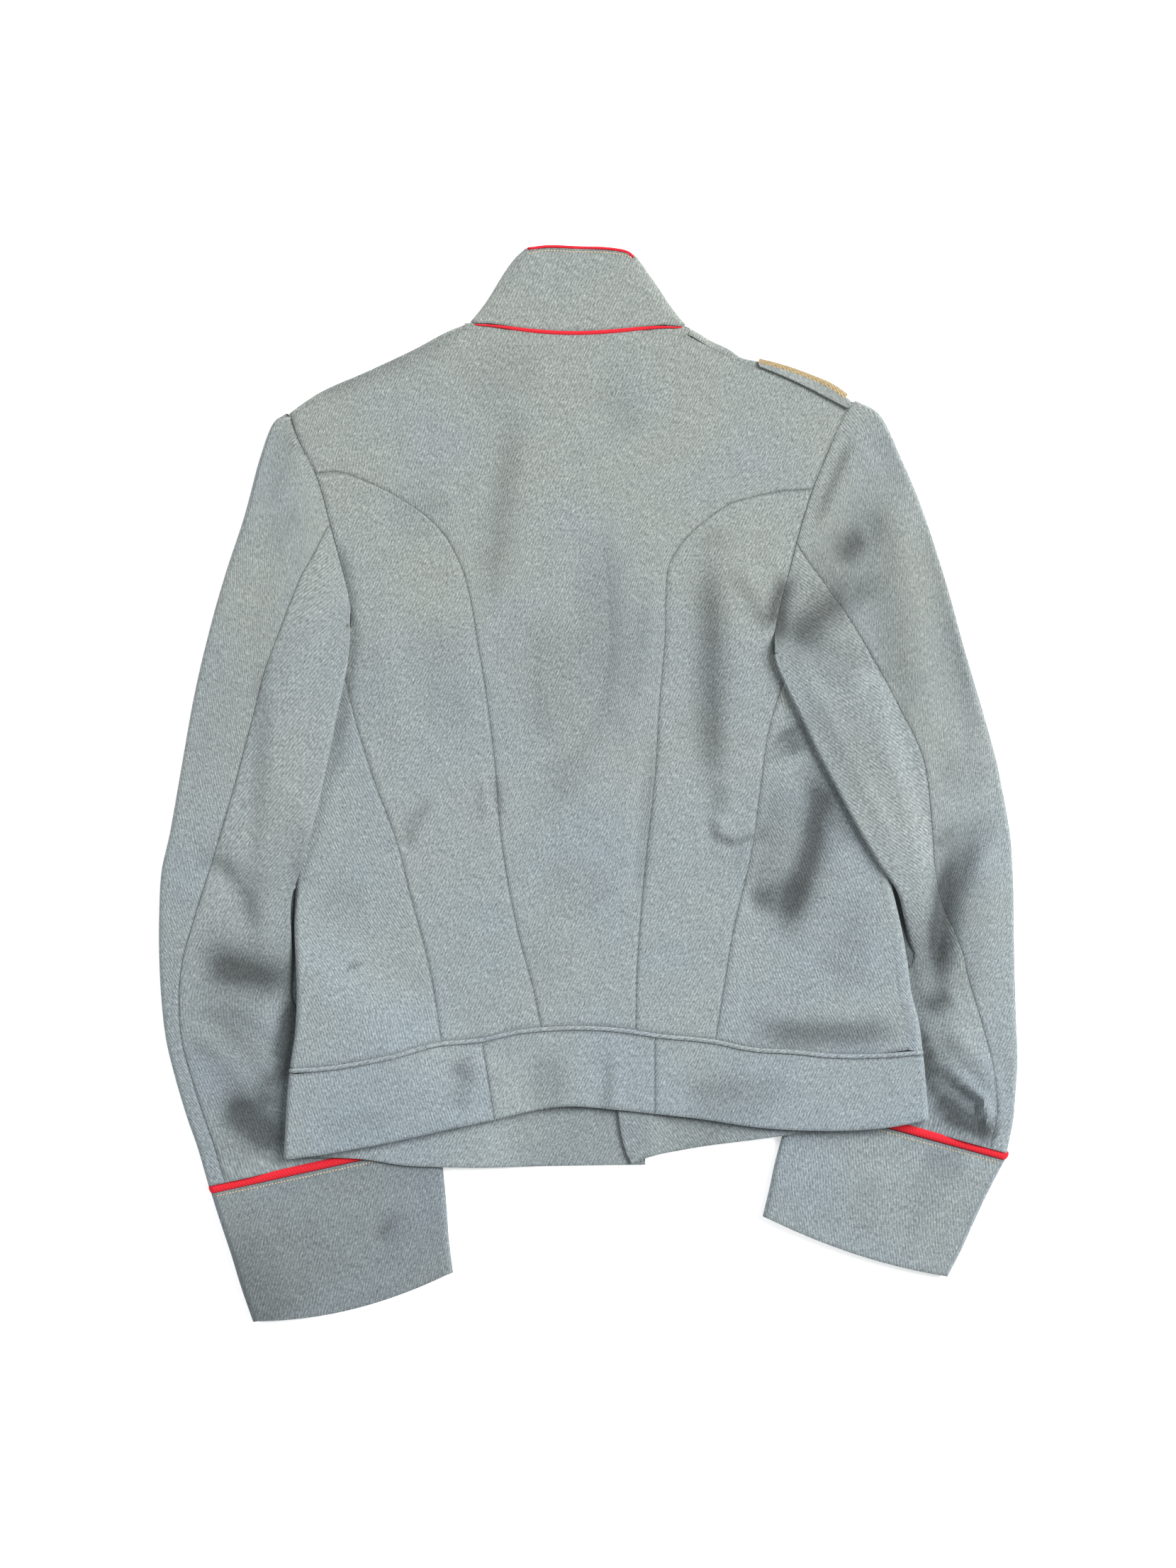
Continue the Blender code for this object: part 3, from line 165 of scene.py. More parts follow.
EDGE_RIGHT = ((241.7, -238), (237.3, -190), (234, -166), (229.5, -149), (227, -130), (222.4, -103),
              (217.5, -80), (209.5, -39.5), (200.5, -6), (192, 28), (184, 70))
# Armholes on the upper layer, from the shoulder down to where the sleeve laps over the body
ARMHOLE_LEFT = ((-213, 263.7), (-205, 243.4), (-193.4, 220.8), (-188, 204), (-183.1, 184.5),
                (-178.5, 168), (-174.6, 153.2), (-170.2, 135.8), (-168.4, 121.2), (-168.6, 111.8))
ARMHOLE_RIGHT = ((190.1, 273.3), (184, 265.4), (170.5, 236.3), (159.6, 209.4), (153.8, 191.5),
                 (148, 171), (142.8, 150.6), (139.5, 138), (135.6, 122.9), (132.3, 104), (132, 92.2))
# Shoulder, neck and waist, each from left to right
SHOULDER_LEFT = ((-213, 263.7), (-191.6, 278.7), (-158, 294), (-125.5, 309.2), (-95, 324.4), (-88, 326.8))
SHOULDER_SEAM_RIGHT = ((71.2, 318.8), (98, 304.5), (119, 296.3), (133.7, 290.5), (154.6, 281), (171, 272.3),
                       (184, 265.4))
NECK_SEAM = ((-83.5, 328), (-58.3, 324.3), (-38.7, 321.7), (-12.9, 320.2), (12.9, 321.1), (38.7, 323.6),
             (69.5, 326))
WAIST_SEAM = ((-211.5, -203), (-187.3, -201.6), (-163, -198), (-139, -193.2), (-108, -185), (-75.8, -182),
              (-50, -176.3), (-25.8, -174), (0, -173.5), (25.6, -175.4), (47.6, -178.7), (91, -183.4),
              (113.7, -188), (147.7, -190), (172, -192.4), (212, -192), (237.3, -189.8))

# Piping: width over the cloth, height, and how far it stands proud; cloth stops at the grooves beside it
Piping = namedtuple("Piping", "width height proud")
WAIST_PIPING = Piping(3.5, 3.0, 0.9)
COLLAR_PIPING = Piping(2.8, 2.2, 0.5)
WAIST_GROOVE = WAIST_PIPING.width / 2 + 0.05
NECK_GROOVE = COLLAR_PIPING.width / 2 - 0.1

# Sleeves, whose inner edges calm the folds of the back: silhouette outside and inside, and the hind-arm seam
# as a share of the width
Station = namedtuple("Station", "outer_x outer_y inner_x inner_y hind")
LEFT_STATIONS = (
    Station(-213.0, 263.7, -168.6, 111.8, 0.57), Station(-224.1, 256.9, -168.6, 104, 0.57),
    Station(-234.2, 230.2, -169.5, 93, 0.54), Station(-244.8, 190.2, -171, 81, 0.48),
    Station(-257.7, 151, -174.2, 66, 0.46), Station(-268.9, 111.8, -179.8, 39.5, 0.43),
    Station(-280.1, 64.2, -186.3, 7, 0.415), Station(-289.6, 11, -194.4, -28, 0.383),
    Station(-297.5, -34, -202.5, -57, 0.346), Station(-303.6, -62, -210, -81.5, 0.328),
    Station(-305.3, -92.7, -210.6, -106.7, 0.247), Station(-305.3, -123.5, -209.4, -134, 0.153),
    Station(-303.6, -154.3, -208.4, -155, 0.104), Station(-300.3, -182.3, -190.5, -181, 0.075),
    Station(-293.5, -210.3, -162.5, -203, 0.065), Station(-285.1, -238.3, -134.4, -227, 0.06),
    Station(-277.5, -260.0, -119.0, -240.5, 0.055), Station(-269.5, -288.5, -105.9, -252, 0.055),
)
RIGHT_STATIONS = (
    Station(190.1, 273.3, 132.0, 92.2, 0.603), Station(208.4, 261.9, 134.4, 82, 0.613),
    Station(224.1, 229.4, 141.7, 65, 0.582), Station(240.9, 187.4, 152.9, 42, 0.543),
    Station(254.9, 145.4, 164.4, 18, 0.51), Station(266.7, 103.4, 178.9, -9, 0.475),
    Station(280.1, 55.8, 191.8, -33, 0.449), Station(292.4, 8.2, 206.4, -57.4, 0.555),
    Station(300.3, -34, 218.5, -75.3, 0.656), Station(302.5, -67.5, 223.8, -93, 0.649),
    Station(303.1, -95.5, 227.5, -112, 0.576), Station(303.6, -126.3, 229.5, -126.3, 0.483),
    Station(304.7, -162.7, 210.1, -149, 0.272), Station(305.9, -196.3, 187.7, -177, 0.138),
    Station(304.2, -224.3, 168.1, -199, 0.075), Station(302.5, -241.1, 156.9, -212, 0.06),
    Station(297.5, -265.0, 147.3, -223.2, 0.06),
)
# A side's sleeve: which armhole point the hind-arm seam meets, where it laps over the body's edge,
# its armpit, and the rows between which it goes from over the body to under it
Side = namedtuple("Side", "name sign stations armhole hind edge lap armpit cross")
LEFT = Side("left", -1, LEFT_STATIONS, ARMHOLE_LEFT, 4, EDGE_LEFT, (-168.6, 111.8), (-203, 90), (-140, -80))
RIGHT = Side("right", 1, RIGHT_STATIONS, ARMHOLE_RIGHT, 5, EDGE_RIGHT, (132, 92.2), (184, 70), (-122, -74))
# A sleeve's inner edge where it runs under the body, and the x of its cuff's edge
UNDER_LEFT = ((-208, -158), (-105.7, -250), -100.0)
UNDER_RIGHT = ((228, -126), (147.3, -223.2), 141.0)


# Folds and creases: a roll is a soft ridge, or a trough where its height is below zero.
# A step rises on the right of its route and dips on the left. A shade only darkens the nap, with no relief,
# where the photograph shows a shadow. Each row has a height or depth, a width and a route from end to end,
# and fades out at both ends.
Crease = namedtuple("Crease", "kind height width route")


def creased(kind, *rows):
    return [Crease(kind, height, width, route) for height, width, *route in rows]


BODY_CREASES = (
    creased("roll",
        (-1.7, 20, (-74, 112), (-71, 155), (-62, 215), (-53, 276)),
        (-1.8, 34, (-30, 13), (-34, 74), (-29, 129)),
        (-1.4, 30, (10, 48), (10, 104), (6, 185)),
        (1.6, 22, (22, 13), (35, 58), (47, 114), (49, 155)),
        (-1.1, 9, (38, -93), (42, -38), (45, 23), (47, 58)),
        (-2.6, 24, (93, -23), (85, 3), (84, 104), (81, 185)),
        (1.5, 8, (86, -28), (94, -46), (108, -51), (121, -41)),
        (3.8, 24, (127, -88), (138, -48), (143, -7), (140, 18)),
        (-1.5, 34, (123, -121), (136, -98), (150, -66), (162, -28), (166, 8)),
        (2.2, 26, (182, -149), (195, -114), (199, -68)),
        (-3.2, 16, (109, -86), (132, -84), (155, -71)),
        (-3.4, 14, (107, -178), (147, -180), (187, -179), (225, -174)),
        (1.2, 14, (107, -162), (147, -164), (193, -162)),
        (-1.8, 7, (-135, -49), (-128, -33), (-114, -10)),
        (-1.6, 7, (-65, -30), (-66, -12), (-69, 8)),
        (1.4, 7, (-72, -30), (-73, -10), (-74, 8)),
        (-1.2, 20, (-146, 175), (-121, 190), (-101, 210)),
        (-1.2, 24, (-96, 23), (-111, 74), (-116, 124)),
        (1.1, 22, (-136, 23), (-146, 74), (-144, 124)),
        (-1.1, 26, (-86, 256), (-66, 286), (-35, 306)),
        (-1.1, 22, (26, 236), (19, 266), (0, 286)),
        (-1.0, 30, (15, -93), (-15, -76), (-45, -73)),
        (1.0, 26, (0, -124), (-20, -114), (-45, -119)),
        (-1.0, 18, (-157, -73), (-182, -88), (-202, -114)),
        (-2.5, 14, (-96, -238), (-92, -215), (-88, -195)),
        (-2.0, 16, (-36, -238), (-33, -215), (-34, -189)),
        (0.8, 18, (-15, -238), (-14, -210), (-15, -187)),
        (1.2, 16, (-66, -235), (-61, -215), (-62, -195)),
        (-1.2, 20, (56, -230), (96, -222), (142, -230)),
        (1.2, 16, (66, -215), (112, -207), (167, -210)),
        (-1.1, 14, (-197, -250), (-167, -245), (-136, -238)),
        (-2.8, 12, (-215, 264), (-182, 281), (-146, 296), (-111, 313), (-85, 327)),
        (-2.0, 12, (76, 317), (107, 305), (142, 295), (170, 284), (185, 273)),
        (-2.0, 9, (-83, 331), (-71, 347), (-57, 365), (-45, 381)),
        (-2.0, 9, (68, 331), (59, 342), (47, 359), (35, 376)))
    + creased("step",
        (0.6, 22, (-71, 112), (-68, 155), (-59, 215), (-51, 276)),
        (1.3, 26, (-46, -48), (-33, -17), (-10, 15), (10, 48), (14, 104), (10, 195)),
        (-0.6, 12, (38, 48), (47, 104), (51, 150)),
        (0.9, 10, (36, -98), (40, -38), (45, 28)),
        (1.4, 18, (97, -23), (88, 3), (88, 104), (85, 180)),
        (-2.2, 9, (86, -17), (92, -37), (104, -43), (117, -36), (123, -23)),
        (1.2, 14, (129, 104), (117, 129), (101, 155)),
        (0.9, 26, (128, -127), (144, -101), (159, -66), (170, -31), (174, 0)),
        (1.5, 10, (124, 19), (139, 33), (162, 42)),
        (-1.1, 7, (-136, -52), (-129, -34), (-116, -11)),
        (1.2, 12, (11, -240), (14, -215), (17, -189)))
    + creased("shade",
        (8.6, 15, (130, -117), (141, -100), (151, -73), (160, -43), (164, -12), (156, 14), (149, 28)),
        (3.0, 14, (112, -83), (120, -81), (136, -80)),
        (3.4, 11, (163, 7), (178, -23), (192, -51)),
        (8.5, 11, (143, 152), (134, 129), (129, 106)),
        (3.0, 12, (88, -24), (95, -11), (90, 3)),
        (2.0, 16, (89, 165), (92, 185)),
        (7.0, 16, (140, 43), (145, 31), (150, 18)),
        (5.5, 8, (187, 251), (177, 228), (165, 199), (157, 180)),
        (3.6, 10, (-182, -12), (-177, 18), (-170, 64), (-167, 109), (-171, 139)),
        (5.0, 9, (-167, 114), (-172, 144), (-178, 175)),
        (1.8, 20, (91, -12), (85, 33), (85, 104), (87, 165)),
        (2.6, 16, (101, -180), (147, -181), (187, -180), (233, -176)),
        (1.2, 28, (-21, -17), (-15, 28)),
        (2.6, 12, (-84, -189), (-94, -210)),
        # a small dark dot on the nap
        (4.5, 4, (-172, -130), (-166, -129), (-161, -129)))
)


def ease(t):
    t = np.clip(t, 0, 1)
    return t * t * (3 - 2 * t)


def smooth(knots, values, at):
    """Cubic curve through values at rising knots."""
    knots = np.asarray(knots, float)
    values = np.asarray(values, float)
    slopes = np.gradient(values, knots)
    at = np.clip(at, knots[0], knots[-1])
    i = np.clip(np.searchsorted(knots, at) - 1, 0, len(knots) - 2)
    span = knots[i + 1] - knots[i]
    t = (at - knots[i]) / span
    return (values[i] * (1 + 2 * t) * (1 - t) ** 2 + slopes[i] * span * t * (1 - t) ** 2
            + values[i + 1] * t * t * (3 - 2 * t) + slopes[i + 1] * span * t * t * (t - 1))


def x_at(curve, y):
    points = sorted(curve, key=lambda p: p[1])
    return smooth([p[1] for p in points], [p[0] for p in points], np.asarray(y, float))


def y_at(curve, x):
    return smooth([p[0] for p in curve], [p[1] for p in curve], np.asarray(x, float))


def unit(vectors):
    return vectors / np.linalg.norm(vectors, axis=-1, keepdims=True)


def run_of(curve):
    """Running length at each point of a curve."""
    return np.concatenate([[0], np.cumsum(np.linalg.norm(np.diff(curve, axis=0), axis=1))])


def shares_of(curve):
    run = run_of(curve)
    return run / run[-1]


def along(curve, shares):
    """Points at the given shares of a curve's length."""
    points = np.asarray(curve, float)
    run = shares_of(points)
    return np.stack([smooth(run, points[:, 0], shares), smooth(run, points[:, 1], shares)], axis=1)


def steps(count, crowd=0.0):
    """Shares from 0 to 1, drawn closer together at both ends where crowd is over 0."""
    s = np.linspace(0, 1, count + 1)
    return s - crowd * np.sin(2 * np.pi * s) / (2 * np.pi)


def by_y(curve, low, high, count):
    y = low + (high - low) * steps(count)
    return np.stack([x_at(curve, y), y], axis=1)


def by_x(curve, low, high, count, crowd=0.7):
    x = low + (high - low) * steps(count, crowd)
    return np.stack([x, y_at(curve, x)], axis=1)


def pin(line, first=None, last=None, share=0.15):
    """Move a line's ends onto given points, with the shift fading over a share of its length."""
    run = shares_of(line)
    line = line.copy()
    if first is not None:
        line += (np.asarray(first) - line[0]) * np.clip(1 - run / share, 0, 1)[:, None]
    if last is not None:
        line += (np.asarray(last) - line[-1]) * np.clip(1 - (1 - run) / share, 0, 1)[:, None]
    return line


def outward(points, sign):
    """Level unit normals of an edge, to the left of its run for sign 1."""
    run = np.gradient(np.asarray(points, float), axis=0)
    return unit(np.stack([-run[:, 1], run[:, 0]], axis=1) * sign)


def lean(out, target, weight):
    """Turn outward directions towards one given direction, by a weight for each."""
    return unit(out * (1 - weight[:, None]) + np.asarray(target) * weight[:, None])


def patch(low, high, left, right):
    """A net of points between four edges that share their corners."""
    u = (shares_of(low) + shares_of(high))[None, :, None] / 2
    v = (shares_of(left) + shares_of(right))[:, None, None] / 2
    sides = (1 - u) * left[:, None] + u * right[:, None]
    ends = (1 - v) * low[None] + v * high[None]
    corners = (1 - v) * ((1 - u) * low[0] + u * low[-1]) + v * ((1 - u) * high[0] + u * high[-1])
    return sides + ends - corners


def off_line(x, y, start, end):
    """Distance to the left of a line."""
    dx = end[0] - start[0]
    dy = end[1] - start[1]
    return ((y - start[1]) * dx - (x - start[0]) * dy) / np.hypot(dx, dy)


def relief(creases, x, y, depth=False):
    """Height that the creases add to the cloth, or with depth the painted shade that they lay on the nap: how
    far down in them a point lies, and a shade row's own darkness, from 0.
    """
    total = np.zeros_like(x)
    for crease in creases:
        spots = np.asarray(crease.route, float)
        whole = np.linalg.norm(np.diff(spots, axis=0), axis=1).sum()
        before = 0.0
        nearest = np.full_like(x, 1e9)
        side_of = np.zeros_like(x)
        run = np.zeros_like(x)
        for a, b in zip(spots, spots[1:]):
            dx, dy = b - a
            reach = np.hypot(dx, dy)
            t = np.clip(((x - a[0]) * dx + (y - a[1]) * dy) / reach ** 2, 0, 1)
            away = np.hypot(x - a[0] - t * dx, y - a[1] - t * dy)
            closer = away < nearest
            nearest = np.where(closer, away, nearest)
            side_of = np.where(closer, np.sign((x - a[0]) * dy - (y - a[1]) * dx), side_of)
            run = np.where(closer, (before + t * reach) / whole, run)
            before += reach
        wide = nearest / (0.6 * crease.width)
        fade = ease(run / 0.3) * ease((1 - run) / 0.3)
        if crease.kind == "shade":
            total += crease.height * fade * np.exp(-wide ** 2) * depth
        elif depth:
            total += max(-crease.height, abs(crease.height) / 2) * fade * np.exp(-wide ** 2 / 1.6)
        elif crease.kind == "step":
            total += crease.height * fade * 2.33 * side_of * wide * np.exp(-wide ** 2)
        else:
            total += crease.height * fade * np.exp(-wide ** 2)
    return total


def body_lift(x, y):
    """How far the body lies up on the sleeves and cuffs that run under it."""
    start, end, cuff_edge = UNDER_LEFT
    left = np.maximum(off_line(x, y, start, end), x - cuff_edge)
    start, end, cuff_edge = UNDER_RIGHT
    right = np.maximum(-off_line(x, y, start, end), cuff_edge - x)
    return LIFT * ease((LIFT_RAMP + LIFT_MARGIN - np.minimum(left, right)) / LIFT_RAMP)


def sleeve_edge(side, y):
    stations = side.stations[::-1]
    return smooth([s.inner_y for s in stations], [s.inner_x for s in stations], y)


def back_height(x, y):
    start, run = CALM_RUN
    clear = np.minimum(ease((x - sleeve_edge(LEFT, y) - start) / run),
                       ease((sleeve_edge(RIGHT, y) - start - x) / run))
    clear = np.where((y > CALM[0]) | (y < CALM[1]), 1, clear)
    z = BACK_TOP + relief(BODY_CREASES, x, y) * clear
    middle, half_width, ramp = FRONT_OVERLAP
    least = 2 * WALL + LAYER_GAP + FRONT_STEP * ease((half_width - np.abs(x - middle)) / ramp)
    return np.maximum(z, least) + body_lift(x, y)


def front_height(x, y):
    return body_lift(x, y)


def place(net, height):
    z = height(net[..., 0], net[..., 1])
    return np.concatenate([net, z[..., None]], axis=-1)


def draw_in(net, rows=(SEAM, SEAM), cols=(SEAM, SEAM)):
    """Stop a net short of the seams at its first and last rows and columns."""
    net = net.copy()
    for axis, (first, last) in ((0, rows), (1, cols)):
        work = np.moveaxis(net, axis, 0)
        for end, near, gap in ((0, 1, first), (-1, -2, last)):
            step = work[near] - work[end]
            work[end] += gap * step / np.maximum(np.linalg.norm(step, axis=-1, keepdims=True), 1e-6)
    return net


SEAM_DIP = 0.5
SEAM_DIP_RUN = 1.5


def dip(net, low=0, high=0, left=0, right=0, run=SEAM_DIP_RUN):
    """Round a net down into its seams: 1 for each edge that is sewn, or a share of the full dip."""
    net = net.copy()
    depth = np.zeros(net.shape[:2])
    for axis, first, last in ((0, low, high), (1, left, right)):
        gaps = np.linalg.norm(np.diff(net[..., :2], axis=axis), axis=-1)
        run_in = np.cumsum(gaps, axis=axis)
        run_in = np.concatenate([np.zeros_like(np.take(run_in, [0], axis=axis)), run_in], axis=axis)
        whole = np.take(run_in, [-1], axis=axis)
        depth = np.maximum(depth, first * np.exp(-(run_in / run) ** 2))
        depth = np.maximum(depth, last * np.exp(-((whole - run_in) / run) ** 2))
    net[..., 2] -= SEAM_DIP * depth
    return net


def fold(upper, lower, out, count=FOLD_STEPS):
    """Points round a folded edge, between one on the upper layer and one right under it."""
    middle = (upper[..., 2] + lower[..., 2]) / 2
    radius = (upper[..., 2] - lower[..., 2]) / 2
    turn = []
    for k in range(1, count):
        angle = np.pi * k / count
        level = upper[..., :2] + out * (radius * np.sin(angle))[..., None]
        turn.append(np.concatenate([level, (middle + radius * np.cos(angle))[..., None]], axis=-1))
    return np.stack(turn, axis=1)


def inset(edge, out, upper, lower):
    """Where the flat layers end inside a folded edge."""
    radius = (upper(edge[:, 0], edge[:, 1]) - lower(edge[:, 0], edge[:, 1])) / 2
    return edge - out * radius[:, None]


def length_along(net, axis):
    """Running length of a net along one axis."""
    gaps = np.linalg.norm(np.diff(net, axis=axis), axis=-1)
    run = np.cumsum(gaps, axis=axis)
    return np.concatenate([np.zeros_like(np.take(run, [0], axis=axis)), run], axis=axis)


def woven(net, grain):
    """Flat place of each point on its cloth: grain "up" keeps to Y, "down the arm" follows the net."""
    across = length_along(net, 1)
    middle = net.shape[1] // 2
    across -= across[:, middle:middle + 1]
    if grain == "up":
        return across + net[:, middle:middle + 1, 0], net[..., 1]
    down = length_along(net, 0)[:, middle:middle + 1]
    return across, -down + 0 * across


def quads(rows, cols, ring, loop=False):
    """Corner numbers of each face of a net stored row by row, closed across (ring) or end to end (loop)."""
    i, j = np.indices((rows if loop else rows - 1, cols if ring else cols - 1))
    k = (j + 1) % cols
    n = (i + 1) % rows
    return np.stack([i * cols + j, i * cols + k, n * cols + k, n * cols + j], axis=-1).reshape(-1, 4)


# Cut edges stay sharp: only edges that turn less than this many degrees are shaded smooth
SMOOTH_BELOW = 50
cut_edges = bpy.data.node_groups.new("sharp_cut_edges", "GeometryNodeTree")
cut_edges.interface.new_socket("Geometry", in_out="INPUT", socket_type="NodeSocketGeometry")
cut_edges.interface.new_socket("Geometry", in_out="OUTPUT", socket_type="NodeSocketGeometry")
cloth_in = cut_edges.nodes.new("NodeGroupInput")
cloth_out = cut_edges.nodes.new("NodeGroupOutput")
turn = add(cut_edges, "GeometryNodeInputMeshEdgeAngle")
gentle = add(cut_edges, "FunctionNodeCompare",
             {0: turn.outputs["Unsigned Angle"], 1: np.radians(SMOOTH_BELOW)},
             data_type="FLOAT", operation="LESS_THAN")
eased = add(cut_edges, "GeometryNodeSetShadeSmooth",
            {0: cloth_in.outputs[0], "Shade Smooth": gentle.outputs[0]}, domain="EDGE")
# nothing reaches below the table
spot = add(cut_edges, "GeometryNodeInputPosition")
spot = add(cut_edges, "ShaderNodeSeparateXYZ", {"Vector": spot.outputs[0]})
above = add(cut_edges, "ShaderNodeMath", {0: spot.outputs["Z"], 1: 0.0}, operation="MAXIMUM")
held = add(cut_edges, "ShaderNodeCombineXYZ",
           {"X": spot.outputs["X"], "Y": spot.outputs["Y"], "Z": above.outputs[0]})
laid = add(cut_edges, "GeometryNodeSetPosition", {"Geometry": eased.outputs[0], "Position": held.outputs[0]})
cut_edges.links.new(laid.outputs[0], cloth_out.inputs[0])

# How dark the painted shade on the nap gets: the depth of shade 1, the darkest that is kept, the painted
# shade along sewn edges, the painted shade on the lower layer, and the heights where the upper layer's shade
# and the lower layer's end, each with its ramp
SHADE_DEPTH = 13.0
DEEPEST_SHADE = 0.72
SEAM_SHADE = 0.36
SEAM_SHADE_RUN = 0.9
LOWER_SHADE = 0.14
UPPER_FROM = (3.0, 1.5)
LOWER_TO = (2.0, 3.0)


def new_piece(name, mesh, finish):
    """An object for a mesh, of one finish, that rides on the jacket's only body."""
    mesh.materials.append(finish)
    piece = bpy.data.objects.new(name, mesh)
    bpy.context.scene.collection.objects.link(piece)
    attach(piece, "root")
    return piece


def cloth(name, nets, finish, wall=WALL, flip=False, ring=False, grain="up", creases=(), tone=0.0,
          sewn=(1, 1, 1, 1)):
    """One sheet of cloth from nets of points, thickened inwards, that stands for its solid in the model."""
    points = []
    painted_seam_shade = []
    faces = []
    flat = []
    total = 0
    for net in nets:
        rows, cols = net.shape[:2]
        u, v = woven(net, grain)
        corners = quads(rows, cols, ring)
        if flip:
            corners = corners[:, ::-1]
        flat.append(np.stack([u.ravel(), v.ravel()], axis=1)[corners.ravel()])
        faces.append(corners + total)
        points.append(net.reshape(-1, 3))
        runs = (length_along(net, 0), length_along(net[::-1], 0)[::-1],
                length_along(net, 1), length_along(net[:, ::-1], 1)[:, ::-1])
        # painted shade in a thin line along each sewn edge, where the seam's groove lies
        lines = [n * np.exp(-(run / SEAM_SHADE_RUN) ** 2) for n, run in zip(sewn, runs)]
        painted_seam_shade.append((SEAM_SHADE * np.max(lines[:2] if ring else lines, axis=0)).ravel())
        total += rows * cols
    mesh = bpy.data.meshes.new(name + "_shell")
    mesh.from_pydata(np.concatenate(points) * MM, [], np.concatenate(faces).tolist())
    mesh.uv_layers.new(name="weave").data.foreach_set("uv", (np.concatenate(flat) * MM).ravel())
    # the light alone leaves the folds paler than in the photograph, so the nap is darkened in them as well:
    # this part of their shadow belongs to the material and stays there under any other light
    spots = np.concatenate(points)
    shade = relief(creases, spots[:, 0], spots[:, 1], depth=True) / SHADE_DEPTH
    shade = np.clip(shade, 0, DEEPEST_SHADE) * ease((spots[:, 2] - UPPER_FROM[0]) / UPPER_FROM[1])
    # painted shade on the lower layers, as if they lay in the shadow of the upper ones
    shade += LOWER_SHADE * (1 - ease((spots[:, 2] - LOWER_TO[0]) / LOWER_TO[1]))
    # tone lays an even painted shade over the whole piece
    shade = np.maximum(np.minimum(shade + tone, DEEPEST_SHADE), np.concatenate(painted_seam_shade))
    mesh.attributes.new("fold_shade", "FLOAT", "POINT").data.foreach_set("value", shade)
    mesh.shade_smooth()
    piece = new_piece(name + "_shell", mesh, finish)
    if len(nets) > 1:
        piece.modifiers.new("joined_nets", "WELD").merge_threshold = 0.02 * MM
    thicken = piece.modifiers.new("thickness", "SOLIDIFY")
    thicken.thickness = wall * MM
    thicken.offset = -1
    piece.modifiers.new("crisp_cut_edges", "NODES").node_group = cut_edges
    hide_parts(name)
    area = 0
    width = 0
    length = 0
    for net in nets:
        a = np.diff(net, axis=1)[:-1]
        b = np.diff(net, axis=0)[:, :-1]
        area += np.linalg.norm(np.cross(a, b), axis=-1).sum()
        width = max(width, length_along(net, 1)[:, -1].max())
        length = max(length, length_along(net, 0)[-1].max())
    width = max(width, area / length)
    return piece


# Melange wool twill: worsted of grey, blue and pale fibres spun together and woven with steep ribs.
# Close up it is a speckle of light and dark yarns in fine slanting lines, from afar a matt mottled grey-blue.
# Ribs and yarns are drawn about twice as coarse as the real ones, which would be too fine for the picture.
RIB_PITCH = 0.0019
YARN = 0.0011
SPECKLE = 0.0016
PATCH = 0.012
PUCKER = 0.016
CLOUD = 0.1
RIB_LEAN = 24.0
BAND_UNIT = 2 * np.pi / 20           # a wave texture makes a band each this many units at scale 1
FIBRE_DARK = 0x596063
FIBRE_MIDDLE = 0x8B9193
FIBRE_LIGHT = 0xBABDBC
SHOULDER_PAINTED_WARM_LIGHT = 0xE6E6DE
HEM_PAINTED_COOL_LIGHT = 0xE3E9EC
CAST_WARM = 0xFFFEFA
CAST_COOL = 0xF8FBFF


